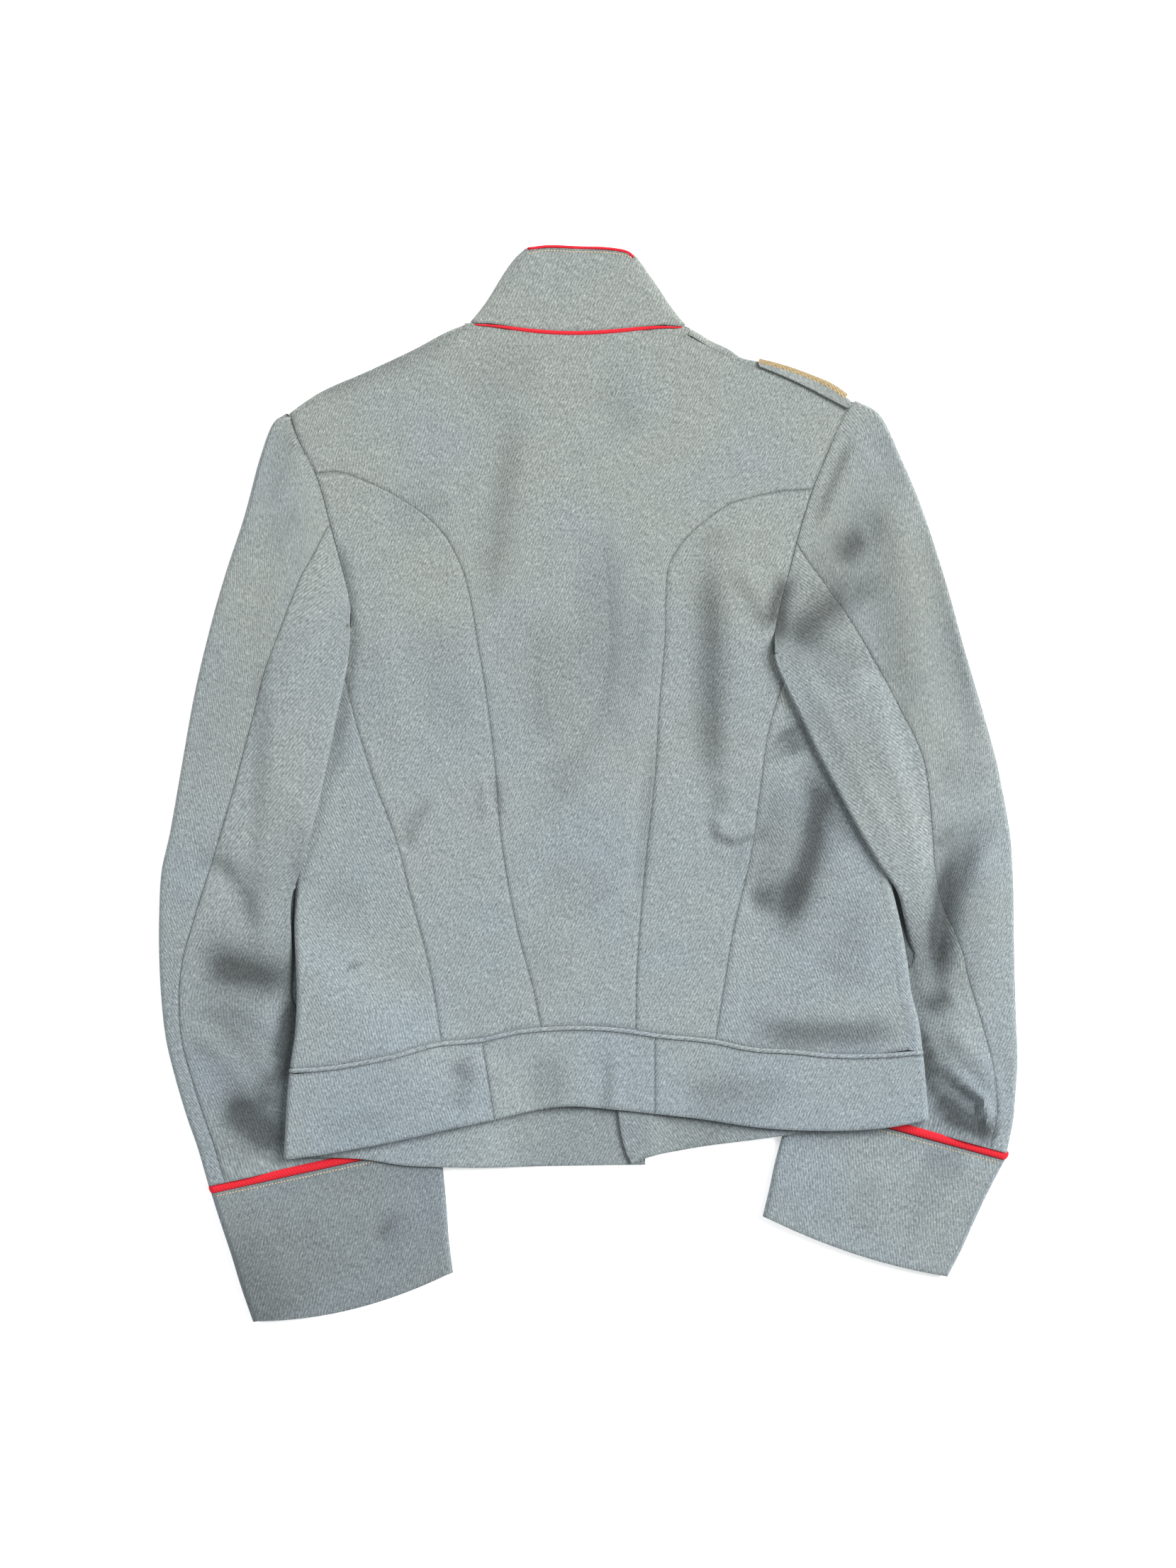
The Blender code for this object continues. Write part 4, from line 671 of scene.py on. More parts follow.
def wool(name, shade=0xFFFFFF):
    """The jacket's twill; shade darkens it as painted shade, for a piece that lies away from the light or
    deep in a gap.
    """
    made, tree, shader = new_material(name)
    weave = add(tree, "ShaderNodeTexCoord").outputs["UV"]
    spot = add(tree, "ShaderNodeNewGeometry").outputs["Position"]
    slanted = add(tree, "ShaderNodeVectorRotate", {"Vector": weave, "Angle": np.radians(RIB_LEAN)},
                  rotation_type="Z_AXIS").outputs["Vector"]
    ribs = add(tree, "ShaderNodeTexWave", {"Vector": slanted, "Scale": BAND_UNIT / RIB_PITCH,
                                           "Distortion": 1.6, "Detail": 2.0, "Detail Scale": 2.2})
    stretched = add(tree, "ShaderNodeMapping", {"Vector": slanted, "Scale": (1.0, 0.34, 1.0)})
    yarns = add(tree, "ShaderNodeTexNoise", {"Vector": stretched.outputs["Vector"], "Scale": 1 / YARN,
                                             "Detail": 2.0, "Roughness": 0.6})
    speckle = add(tree, "ShaderNodeTexNoise", {"Vector": weave, "Scale": 1 / SPECKLE, "Detail": 3.0,
                                               "Roughness": 0.7})
    patches = add(tree, "ShaderNodeTexNoise", {"Vector": weave, "Scale": 1 / PATCH, "Detail": 3.0,
                                               "Roughness": 0.6})
    mixed = add(tree, "ShaderNodeMath", {0: yarns.outputs["Fac"], 1: speckle.outputs["Fac"]}, operation="ADD")
    lined = add(tree, "ShaderNodeMath", {0: ribs.outputs["Fac"], 1: 0.16, 2: mixed.outputs[0]},
                operation="MULTIPLY_ADD")
    spread = add(tree, "ShaderNodeMapRange", {"Value": lined.outputs[0], "From Min": 0.66, "From Max": 1.5})
    ramp = add(tree, "ShaderNodeValToRGB", {"Fac": spread.outputs["Result"]})
    ramp.color_ramp.elements[0].color = linear(FIBRE_DARK)
    ramp.color_ramp.elements[1].color = linear(FIBRE_LIGHT)
    ramp.color_ramp.elements.new(0.5).color = linear(FIBRE_MIDDLE)
    uneven = add(tree, "ShaderNodeMapRange", {"Value": patches.outputs["Fac"], "From Min": 0.3,
                                              "From Max": 0.7, "To Min": 0.94, "To Max": 1.06})
    toned = add(tree, "ShaderNodeVectorMath", {0: ramp.outputs["Color"], 1: linear(shade)[:3]},
                operation="MULTIPLY")
    patched = add(tree, "ShaderNodeVectorMath",
                  {0: toned.outputs["Vector"], "Scale": uneven.outputs["Result"]}, operation="SCALE")
    # painted light colour: warmer light towards the shoulders, cooler light towards the hem
    up = add(tree, "ShaderNodeSeparateXYZ", {"Vector": spot})
    up = add(tree, "ShaderNodeMapRange", {"Value": up.outputs["Y"], "From Min": -0.2, "From Max": 0.3})
    painted_light_tint = add(tree, "ShaderNodeMix", {"Factor": up.outputs["Result"], 6: linear(HEM_PAINTED_COOL_LIGHT),
                                       7: linear(SHOULDER_PAINTED_WARM_LIGHT)}, data_type="RGBA")
    # soft warm and cool clouds lie at random on each piece
    clouds = add(tree, "ShaderNodeTexNoise", {"Vector": weave, "Scale": 1 / CLOUD, "Detail": 1.0})
    drift = add(tree, "ShaderNodeMapRange", {"Value": clouds.outputs["Fac"], "From Min": 0.32,
                                             "From Max": 0.68})
    cast = add(tree, "ShaderNodeMix", {"Factor": drift.outputs["Result"], 6: linear(CAST_WARM),
                                       7: linear(CAST_COOL)}, data_type="RGBA")
    colour = patched
    for wash in (painted_light_tint, cast):
        colour = add(tree, "ShaderNodeVectorMath", {0: colour.outputs["Vector"], 1: wash.outputs[2]},
                     operation="MULTIPLY")
    # the painted shade that each point carries, in creases, along sewn edges, on lower layers and over whole
    # pieces, darkens the colour
    folds = add(tree, "ShaderNodeAttribute", attribute_name="fold_shade")
    kept = add(tree, "ShaderNodeMath", {0: 1.0, 1: folds.outputs["Fac"]}, operation="SUBTRACT")
    shaded = add(tree, "ShaderNodeVectorMath", {0: colour.outputs["Vector"], "Scale": kept.outputs[0]},
                 operation="SCALE")
    # the weave's own relief, then the slight puckers of pressed wool
    fine = add(tree, "ShaderNodeMath", {0: ribs.outputs["Fac"], 1: 0.8, 2: yarns.outputs["Fac"]},
               operation="MULTIPLY_ADD")
    weave_bump = add(tree, "ShaderNodeBump",
                     {"Strength": 0.35, "Distance": 0.0004, "Height": fine.outputs[0]})
    pucker = add(tree, "ShaderNodeTexNoise", {"Vector": weave, "Scale": 1 / PUCKER, "Detail": 3.0,
                                              "Roughness": 0.55})
    bump = add(tree, "ShaderNodeBump", {"Strength": 0.5, "Distance": 0.0011, "Height": pucker.outputs["Fac"],
                                        "Normal": weave_bump.outputs["Normal"]})
    fill(tree, shader, {"Base Color": shaded.outputs["Vector"], "Roughness": 0.92, "Specular IOR Level": 0.25,
                        "Sheen Weight": 0.18, "Sheen Roughness": 0.55, "Normal": bump.outputs["Normal"]})
    return made


back_twill = wool("melange_wool_twill")

TORSO_ROWS = 96
YOKE_ROWS = 44
SIDE_COLS = 34
SHOULDER_COLS = 44
NECK_COLS = 52
SEAM_COLS = 44
# Outward directions at the shoulder tips, and how far the back is tucked under at the shoulder fold
TIP_OUT = {"left": np.array([-0.55, 0.835]), "right": np.array([0.57, 0.822])}
SHOULDER_TUCK = 2.0
LAP_DROP = 6.0                       # the rows change pitch this far below the sleeve's lap


def waist_y(x):
    return y_at(WAIST_SEAM, x) + WAIST_GROOVE


def princess(side):
    lower = PRINCESS_LEFT if side is LEFT else PRINCESS_RIGHT
    start = float(waist_y(lower[0][0]))
    middle = side.lap[1] - LAP_DROP
    torso = by_y(lower, start, middle, TORSO_ROWS)
    yoke = by_y(lower, middle, lower[-1][1], YOKE_ROWS)
    return np.concatenate([torso, yoke[1:]])


def princess_top(side):
    return along(PRINCESS_LEFT_TOP if side is LEFT else PRINCESS_RIGHT_TOP, steps(SIDE_COLS, 0.7))


arm_left = along(np.asarray(ARMHOLE_LEFT[:3], float)[::-1], steps(20, 0.6))
arm_right = along(np.asarray(ARMHOLE_RIGHT[1:4], float)[::-1], steps(20, 0.6))
back_left = np.concatenate([princess(LEFT), princess_top(LEFT)[1:], arm_left[1:]])
back_right = np.concatenate([princess(RIGHT), princess_top(RIGHT)[1:], arm_right[1:]])
shoulder_edge = along(SHOULDER_LEFT, steps(SHOULDER_COLS))
shoulder_out = outward(shoulder_edge, 1)
shoulder_out = lean(shoulder_out, TIP_OUT["left"], np.clip(1 - steps(SHOULDER_COLS) / 0.2, 0, 1))
shoulder_in = inset(shoulder_edge, shoulder_out, back_height, front_height)
back_left = pin(back_left, last=shoulder_in[0], share=0.03)
neck_line = along(NECK_SEAM, steps(NECK_COLS))
neck_line[:, 1] -= NECK_GROOVE
neck_line = pin(neck_line, shoulder_in[-1], np.array(SHOULDER_SEAM_RIGHT[0]) + (-0.8, -0.2), 0.2)
right_shoulder = pin(along(SHOULDER_SEAM_RIGHT, steps(SEAM_COLS)), neck_line[-1])
back_high = np.concatenate([shoulder_in, neck_line[1:], right_shoulder[1:]])
back_low = by_x(WAIST_SEAM, back_left[0, 0], back_right[0, 0], len(back_high) - 1)
back_low[:, 1] += WAIST_GROOVE
back_low = pin(back_low, back_left[0], back_right[0], 0.05)
back_net = draw_in(patch(back_low, back_high, back_left, back_right), rows=(0, 0))
neck_end = len(shoulder_in) + len(neck_line) - 2
back_net[-1, neck_end:] -= (0, SEAM)
back_net = dip(place(back_net, back_height), low=0.6, left=1, right=1)
shoulder_row = back_net[-1, :len(shoulder_in)]
shoulder_under = shoulder_row.copy()
shoulder_under[:, 2] = front_height(shoulder_under[:, 0], shoulder_under[:, 1])
shoulder_wrap = fold(shoulder_row, shoulder_under, shoulder_out)
shoulder_hem = shoulder_under.copy()
shoulder_hem[:, :2] -= shoulder_out * SHOULDER_TUCK
turned = np.concatenate([shoulder_row[:, None], shoulder_wrap, shoulder_under[:, None],
                         shoulder_hem[:, None]], axis=1)
cloth("back_center", [back_net, np.swapaxes(turned, 0, 1)], back_twill, creases=BODY_CREASES,
      sewn=(1, 0.4, 1, 1))


# Side backs
# Two curved panels between the centre back and the side panels, from the waist up into the armholes.
# Their upper ends are cut in a curve that turns out to the armhole, and the seams are pressed open.
SIDE_BACK_LEFT = ((-103.6, -183.4), (-113.7, -125.3), (-126.6, -77), (-134.7, -44.5), (-152.4, 4),
                  (-167, 52.4), (-179, 105))
SIDE_BACK_RIGHT = ((90.6, -182.7), (96, -149), (103, -106), (116.7, -46), (123.1, 1), (128.8, 39.5),
                   (144, 87))


def side_back(side):
    seam = SIDE_BACK_LEFT if side is LEFT else SIDE_BACK_RIGHT
    return by_y(seam, float(waist_y(seam[0][0])), seam[-1][1], TORSO_ROWS)


LAP_ROWS = 5
for side in (LEFT, RIGHT):
    seam = side_back(side)
    first = 2 if side is LEFT else 3
    hole = np.asarray(side.armhole[first:], float)[::-1]
    step_in = along([seam[-1], hole[0]], steps(LAP_ROWS))[1:]
    outer = np.concatenate([seam, step_in, along(hole, steps(YOKE_ROWS - LAP_ROWS))[1:]])
    inner = princess(side)
    low = by_x(WAIST_SEAM, outer[0, 0], inner[0, 0], SIDE_COLS)
    low[:, 1] += WAIST_GROOVE
    high = princess_top(side)[::-1]
    if side is LEFT:
        net = patch(low, high, outer, inner)
    else:
        net = patch(low[::-1], high[::-1], inner, outer)
    net = dip(place(draw_in(net, rows=(0, SEAM)), back_height), low=0.6, high=1, left=1, right=1)
    cloth("back_side_" + side.name, [net], back_twill, creases=BODY_CREASES)


# Side panels
# The left one is folded at the side of the body and reaches its seam with the front underneath.
# The right one ends at a seam that shows just inside the body's edge.
SIDE_SEAM_LEFT_IN = (23.0, 6.0)      # hidden side seam, in from the left edge at the hem and armpit
SIDE_SEAM_RIGHT_IN = (10.5, 4.6)     # side seam on the back, in from the right edge


WAIST_AT_SIDE = {"left": -201, "right": -188}


def side_edge(side):
    low = float(waist_y(x_at(side.edge, WAIST_AT_SIDE[side.name])))
    return by_y(side.edge, low, side.armpit[1], TORSO_ROWS)


def side_seam_right(edge, inside):
    tuck = np.maximum(np.linspace(*SIDE_SEAM_RIGHT_IN, len(edge)), edge[:, 0] - inside[:, 0] + 0.6)
    return edge - np.stack([tuck, 0 * tuck], axis=1)


def side_seam_left(edge, inside):
    reach = np.maximum(np.linspace(*SIDE_SEAM_LEFT_IN, len(edge)), inside[:, 0] - edge[:, 0] + 1.5)
    return edge + np.stack([reach, 0 * reach], axis=1)


for side in (LEFT, RIGHT):
    edge = side_edge(side)
    out = outward(edge, -side.sign)
    inside = inset(edge, out, back_height, front_height)
    seam = side_back(side)
    stop = inside if side is LEFT else side_seam_right(edge, inside)
    low = along([stop[0], seam[0]], steps(SIDE_COLS, 0.7))
    low[:, 1] = waist_y(low[:, 0])
    low = pin(low, stop[0])
    high = along([stop[-1], seam[-1]], steps(SIDE_COLS, 0.7))
    upper = patch(low, high, stop, seam)
    if side is RIGHT:
        net = dip(draw_in(place(upper, back_height), rows=(0, 0.6), cols=(0.02, SEAM)), low=0.6, right=1)
        cloth("side_right", [net], back_twill, flip=True, creases=BODY_CREASES, sewn=(1, 1, 0.3, 1))
        continue
    upper = place(draw_in(upper, rows=(0, 0.6), cols=(0, SEAM)), back_height)
    hidden = side_seam_left(edge, inside)
    lower = inside[:, None] + (hidden - inside)[:, None] * steps(6)[None, :, None]
    lower[:, :, 1] = edge[:, 1:2]
    lower = place(draw_in(lower, rows=(0, 0.6), cols=(0, SEAM)), front_height)
    upper[:, 0, :2] = lower[:, 0, :2]
    upper[:, 0, 2] = back_height(upper[:, 0, 0], upper[:, 0, 1])
    wrap = fold(upper[:, 0], lower[:, 0], out)
    upper = dip(upper, low=0.6, right=1)
    net = np.concatenate([upper[:, ::-1], wrap, lower], axis=1)
    cloth("side_left", [net], back_twill, flip=True, creases=BODY_CREASES)


# Fronts
# They lie face down under the back, the right one over the left at the middle.
# The right front also wraps up over the right shoulder to the shoulder seam.
# Front armholes on the lower layer, from the shoulder down to the armpit and back to the lap
LOWER_ARMHOLE = {
    "left": ((-213, 263.7), (-203, 235), (-198, 200), (-198, 155), (-201, 120), (-203, 90)),
    "right": ((190.1, 273.3), (182, 245), (178, 205), (178, 160), (181, 115), (184, 70)),
}
# Right shoulder and lower waist seam from left to right, front edges from the hem up
SHOULDER_RIGHT = ((73.5, 323.8), (77, 322), (86.8, 316), (98, 311), (112, 305), (122, 303), (138, 299),
                  (159.5, 291.5), (175.7, 284), (190.1, 273.3))
LOWER_WAIST = ((-211.5, -203), (-170, -209), (-100, -213), (40, -213), (150, -206), (237.3, -189.8))
FRONT_EDGE_LEFT = ((41, -271.4), (39, -213), (2.5, 238))
FRONT_EDGE_RIGHT = ((31.1, -270.7), (28, -264), (21.5, -234), (19.5, -213), (-16.5, 238))
NECK_MIDDLE = -7.0
FRONT_NECK = 238.0                   # y of the front neckline in the middle
STRAP_RISE = 2.4                     # the shoulder strap wraps over the fold of the right shoulder
STRAP_LINE = ((121.0, 303.0), (190.0, 275.0))
STRAP_EASE = (68.0, 22.0)            # how far in from that line the front rises for the strap, and its ramp
STRAP_START = (14.0, 11.0)           # the rise starts this far before the strap, and its ramp
FRONT_LAP = (22.0, 20.0)             # the right front comes down this far past the left's edge, and its ramp
FRONT_ROWS = 140
NECK_ROWS = 44
FRONT_COLS = 36


def right_front_height(x, y):
    far, ramp = FRONT_LAP
    lap = FRONT_STEP * ease((x_at(FRONT_EDGE_LEFT, y) + far - x) / ramp)
    start, end = STRAP_LINE
    far, ramp = STRAP_EASE
    inside = ease((far + off_line(x, y, start, end)) / ramp)
    reach = np.hypot(end[0] - start[0], end[1] - start[1])
    run = ((x - start[0]) * (end[0] - start[0]) + (y - start[1]) * (end[1] - start[1])) / reach
    before, ramp = STRAP_START
    strap = STRAP_RISE * inside * ease((run + before) / ramp)
    return body_lift(x, y) + np.maximum(lap, strap)


def neckline(sign, count, grow):
    """Front neckline from the corner down to the middle, widened by grow."""
    corner = np.array(NECK_SEAM[0] if sign < 0 else NECK_SEAM[-1], float)
    half_width = abs(corner[0] - NECK_MIDDLE) + grow
    angle = steps(count) * np.pi / 2
    x = NECK_MIDDLE + sign * half_width * np.cos(angle)
    y = corner[1] - (corner[1] - FRONT_NECK + grow) * np.sin(angle)
    return np.stack([x, y], axis=1)


def lower_waist_y(x):
    return y_at(LOWER_WAIST, x) + WAIST_GROOVE


edge = side_edge(LEFT)
inside = inset(edge, outward(edge, 1), back_height, front_height)
hidden = side_seam_left(edge, inside)
arm = np.array(LOWER_ARMHOLE["left"][::-1], float)
arm[0] = hidden[-1]
arm = along(arm, steps(FRONT_ROWS - TORSO_ROWS))
left = np.concatenate([hidden, arm[1:]])
left = pin(left, (left[0, 0], float(lower_waist_y(left[0, 0]))), shoulder_hem[0, :2], 0.05)
neck = pin(neckline(-1, NECK_ROWS, NECK_GROOVE)[::-1], last=shoulder_hem[-1, :2], share=0.1)
at_waist = float(lower_waist_y(FRONT_EDGE_LEFT[1][0]))
centre = by_y(FRONT_EDGE_LEFT, at_waist, neck[0, 1], FRONT_ROWS - NECK_ROWS)
right = np.concatenate([centre[:-1], pin(neck, centre[-1], share=0.1)])
high = shoulder_hem[:, :2].copy()
low = by_x(LOWER_WAIST, left[0, 0], right[0, 0], len(high) - 1, 0)
low[:, 1] += WAIST_GROOVE
low = pin(low, left[0], right[0], 0.05)
net = draw_in(patch(low, high, left, right), rows=(0, 0.4), cols=(SEAM, 0))
cloth("front_left", [place(net, front_height)], back_twill, flip=True)

edge = side_edge(RIGHT)
out = outward(edge, -1)
inside = inset(edge, out, back_height, right_front_height)
arm = np.array(LOWER_ARMHOLE["right"][::-1], float)
arm[0] = inside[-1]
arm = along(arm, steps(FRONT_ROWS - TORSO_ROWS))
shoulder = along(SHOULDER_RIGHT, steps(FRONT_COLS))
turned_out = lean(outward(shoulder, 1), TIP_OUT["right"], np.clip(1 - (1 - steps(FRONT_COLS)) / 0.1, 0, 1))
bare = shoulder - turned_out * (STRAP_RISE * ease((shoulder[:, :1] - 100) / 10))
high = inset(bare, turned_out, back_height, right_front_height)
neck = pin(neckline(1, NECK_ROWS, NECK_GROOVE)[::-1], last=high[0], share=0.1)
at_waist = float(lower_waist_y(FRONT_EDGE_RIGHT[3][0]))
centre = by_y(FRONT_EDGE_RIGHT, at_waist, neck[0, 1], FRONT_ROWS - NECK_ROWS)
left = np.concatenate([centre[:-1], pin(neck, centre[-1], share=0.1)])
right = pin(np.concatenate([inside, arm[1:]]), last=high[-1], share=0.02)
x = left[0, 0] + (right[0, 0] - left[0, 0]) * steps(FRONT_COLS)
low = pin(np.stack([x, lower_waist_y(x)], axis=1), left[0], right[0], 0.05)
flat = place(patch(low, high, left, right), right_front_height)
rows = TORSO_ROWS + 1
flat[rows:, -1, 0] -= SEAM
lower = flat[:rows, -1]
upper = lower.copy()
upper[:, 2] = back_height(upper[:, 0], upper[:, 1])
seam = place(side_seam_right(edge, inside) + (0.02, 0), back_height)
wrap = fold(upper, lower, out)[:, ::-1]
side_wrap = np.concatenate([lower[:, None], wrap, upper[:, None], seam[:, None]], axis=1)
top_low = flat[-1]
top_high = top_low.copy()
top_high[:, 2] = back_height(top_high[:, 0], top_high[:, 1])
strip = along(SHOULDER_SEAM_RIGHT, steps(FRONT_COLS)) + (0, SEAM)
strip = place(pin(strip, np.array(SHOULDER_SEAM_RIGHT[0]) + (0.2, 0.4)), back_height)
round_top = fold(top_high, top_low, turned_out)[:, ::-1]
wrapped = np.concatenate([top_low[:, None], round_top, top_high[:, None], strip[:, None]], axis=1)
cloth("front_right", [flat, side_wrap, np.swapaxes(wrapped, 0, 1)], back_twill, flip=True,
      sewn=(0.3, 0.3, 0.3, 0.3), creases=BODY_CREASES)


# Right shoulder strap
# A stiffened cloth strap edged with flat gilt braid, sewn into the armhole and laid along the shoulder.
# It lies over the fold of the shoulder, so its two rows of braid show as a pale rim above the seam.
STRAP = (122.0, 185.0)               # x of its two ends
STRAP_WALL = 1.8
STRAP_UNDER = 38.0
BRAID_GILT = 0x75643F
BRAID_SHADE = 0x4A3C26
BRAID_LIGHT = 0x958260
BRAID_RIB = 0.0016
BRAID_ROW = 0.0026
STRAP_COLS = 40
STRAP_STEPS = 12
TWILL_COLS = 4
STRAP_CLEAR = 0.45

gilt_braid, tree, shader = new_material("woven_gilt_braid")
weave = add(tree, "ShaderNodeTexCoord").outputs["UV"]
chevron = add(tree, "ShaderNodeTexWave", {"Vector": weave, "Scale": BAND_UNIT / BRAID_RIB, "Distortion": 1.0,
                                          "Detail": 1.0}, bands_direction="DIAGONAL")
thread = add(tree, "ShaderNodeTexNoise", {"Vector": weave, "Scale": 900.0, "Detail": 3.0})
rows = add(tree, "ShaderNodeTexWave", {"Vector": weave, "Scale": BAND_UNIT / BRAID_ROW}, bands_direction="X")
woven_rows = add(tree, "ShaderNodeMath", {0: rows.outputs["Fac"], 1: 0.5, 2: thread.outputs["Fac"]},
                 operation="MULTIPLY_ADD")
both = add(tree, "ShaderNodeMath", {0: chevron.outputs["Fac"], 1: 0.3, 2: woven_rows.outputs[0]},
           operation="MULTIPLY_ADD")
ramp = add(tree, "ShaderNodeValToRGB", {"Fac": both.outputs[0]})
ramp.color_ramp.elements[0].position = 0.3
ramp.color_ramp.elements[0].color = linear(BRAID_SHADE)
ramp.color_ramp.elements[1].position = 1.0
ramp.color_ramp.elements[1].color = linear(BRAID_LIGHT)
ramp.color_ramp.elements.new(0.6).color = linear(BRAID_GILT)
bump = add(tree, "ShaderNodeBump", {"Strength": 0.6, "Distance": 0.0004, "Height": both.outputs[0]})
fill(tree, shader, {"Base Color": ramp.outputs["Color"], "Roughness": 0.55, "Metallic": 0.15,
                    "Normal": bump.outputs["Normal"]})

x = STRAP[0] + (STRAP[1] - STRAP[0]) * steps(STRAP_COLS)
edge = np.stack([x, y_at(SHOULDER_RIGHT, x)], axis=1)
out = outward(edge, 1)


def strap_height(x, y):
    return back_height(x, y) + STRAP_WALL + STRAP_CLEAR


inside = edge - out * (strap_height(edge[:, 0], edge[:, 1]) / 2)[:, None]
upper = place(inside, strap_height)
lower = upper.copy()
lower[:, 2] = 0
seam = place(np.stack([x, y_at(SHOULDER_SEAM_RIGHT, x) + 1.2], axis=1), strap_height)
top = seam[:, None] + (upper - seam)[:, None] * steps(TWILL_COLS)[None, :, None]
tuck = np.concatenate([-out * STRAP_UNDER, 0 * x[:, None]], axis=1)
under = np.stack([lower + tuck * s for s in steps(STRAP_STEPS)], axis=1)
net = np.concatenate([top, fold(upper, lower, out), under], axis=1)
strap = cloth("shoulder_strap_right", [net], gilt_braid, wall=STRAP_WALL, flip=True, sewn=(0, 0, 0.5, 0))
# the strap's face is twill up to the braid on its rim
strap.data.materials.append(back_twill)
column = np.arange(len(strap.data.polygons)) % (net.shape[1] - 1)
strap.data.polygons.foreach_set("material_index", (column < TWILL_COLS).astype(np.int32))


# Waistband
# A band in three pieces, joined at two upright seams, doubled and sewn under the waist seam.
# Its lower edge is turned up and stitched, and the fronts' part of it hangs a little lower than the back's.
# Hems from left to right, and the two upright seams from the hem up
BACK_HEM = ((-215.7, -265.2), (-190.5, -262.7), (-163, -258), (-137, -253), (-93.6, -243.4), (-66, -237.8),
            (-42, -232.7), (-12.9, -229), (9.5, -230.5), (47.6, -234.4), (83, -238.3), (123.5, -243.3),
            (147.7, -244.9), (210, -243.3), (241.7, -238))
FRONT_HEM_LEFT = ((-215.7, -265.2), (-156.6, -266.7), (-130.7, -270.8), (-104.9, -271.9), (41, -271.4))
FRONT_HEM_RIGHT = ((31.1, -270.7), (42.6, -266), (66.9, -261), (138, -249.8), (164, -246.5), (196, -244.5),
                   (241.7, -238))
BAND_SEAM_LEFT = ((-66, -237.8), (-75.4, -182))
BAND_SEAM_RIGHT = ((47.6, -234.4), (47.6, -178.7))
BAND_ROWS = 26
BAND_COLS = 60


def band_upper(x_left, x_right):
    high = by_x(WAIST_SEAM, x_left[1], x_right[1], BAND_COLS)
    high[:, 1] -= WAIST_GROOVE
    low = by_x(BACK_HEM, x_left[0], x_right[0], BAND_COLS)
    return low, high


band_seams = {}
for side, line in ((LEFT, BAND_SEAM_LEFT), (RIGHT, BAND_SEAM_RIGHT)):
    seam = along(line, steps(BAND_ROWS))
    seam[-1, 1] = y_at(WAIST_SEAM, seam[-1, 0]) - WAIST_GROOVE
    band_seams[side.name] = seam
left = band_seams["left"]
right = band_seams["right"]
low, high = band_upper(left[[0, -1], 0], right[[0, -1], 0])
low = pin(low, left[0], right[0])
high = pin(high, left[-1], right[-1])
net = draw_in(patch(low, high, left, right), rows=(0, 0))
net = dip(place(net, back_height), low=0.8, high=0.6, left=1, right=1)
cloth("waistband_back", [net], back_twill, creases=BODY_CREASES)
for side in (LEFT, RIGHT):
    seam = band_seams[side.name]
    under = front_height if side is LEFT else right_front_height
    top_y = float(y_at(WAIST_SEAM, side.edge[1][0])) - WAIST_GROOVE
    edge = by_y(side.edge, side.edge[0][1], top_y, BAND_ROWS)
    out = outward(edge, -side.sign)
    inside = inset(edge, out, back_height, under)
    low, high = band_upper(inside[[0, -1], 0], seam[[0, -1], 0])
    low = pin(low, inside[0], seam[0], 0.1)
    high = pin(high, inside[-1], seam[-1], 0.1)
    upper = place(draw_in(patch(low, high, inside, seam), rows=(0, 0), cols=(0, SEAM)), back_height)
    front = FRONT_EDGE_LEFT if side is LEFT else FRONT_EDGE_RIGHT
    hem = FRONT_HEM_LEFT if side is LEFT else FRONT_HEM_RIGHT
    far = by_y(front, front[0][1], float(y_at(LOWER_WAIST, front[1][0])) - WAIST_GROOVE, BAND_ROWS)
    low = pin(by_x(hem, inside[0, 0], far[0, 0], BAND_COLS, 0.5), inside[0], far[0], 0.08)
    high = by_x(LOWER_WAIST, inside[-1, 0], far[-1, 0], BAND_COLS, 0.5)
    high[:, 1] -= WAIST_GROOVE
    high = pin(high, inside[-1], far[-1], 0.08)
    lower = place(patch(low, high, inside, far), under)
    wrap = fold(upper[:, 0], lower[:, 0], out)
    upper = dip(upper, low=0.8, high=0.6, right=1)
    net = np.concatenate([upper[:, ::-1], wrap, lower], axis=1)
    cloth("waistband_" + side.name, [net], back_twill, flip=side is LEFT, creases=BODY_CREASES)


# Waist piping
# A cord covered in bias-cut twill is sewn into the waist seam all round, from one front edge to the other.
# It is the same cloth as the band, so only its round form and its shadow tell it apart.
def tube(name, centres, across, up, piping, closed, finish, sides=12):
    """A flat cord: an ellipse swept along its seam."""
    angle = 2 * np.pi * np.arange(sides) / sides
    ring = (centres[:, None] + across[:, None] * (piping.width / 2 * np.cos(angle))[None, :, None]
            + up[:, None] * (piping.height / 2 * np.sin(angle))[None, :, None])
    faces = quads(len(centres), sides, True, closed).tolist()
    if not closed:
        faces += [list(range(sides))[::-1], [(len(centres) - 1) * sides + n for n in range(sides)]]
    mesh = bpy.data.meshes.new(name + "_cord")
    mesh.from_pydata(ring.reshape(-1, 3) * MM, [], faces)
    girth = np.pi * (piping.width + piping.height) / 2 / sides
    corner = np.array([n for face in faces for n in face])
    flat = np.stack([corner % sides * girth, run_of(centres)[corner // sides]], axis=1) * MM
    mesh.uv_layers.new(name="weave").data.foreach_set("uv", flat.ravel())
    mesh.shade_smooth()
    piece = new_piece(name + "_cord", mesh, finish)
    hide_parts(name)


def sweep(name, route, normals, piping, finish, slot_name, closed=False, girth=1.0):
    """Piping along a route on the outer face of the cloth, whose outward normals are given."""
    run = np.gradient(route, axis=0)
    if closed:
        run[0] = route[1] - route[-1]
        run[-1] = route[0] - route[-2]
    run = unit(run)
    across = unit(np.cross(run, normals))
    up = np.cross(across, run)
    proud = piping.proud * (1 + normals[:, 2:]) / 2
    centres = route - normals * (piping.height / 2 - proud)
    centres[:, 2] = np.maximum(centres[:, 2], piping.height / 2)
    tube(name, centres, across * girth, up * girth, piping, closed, finish)


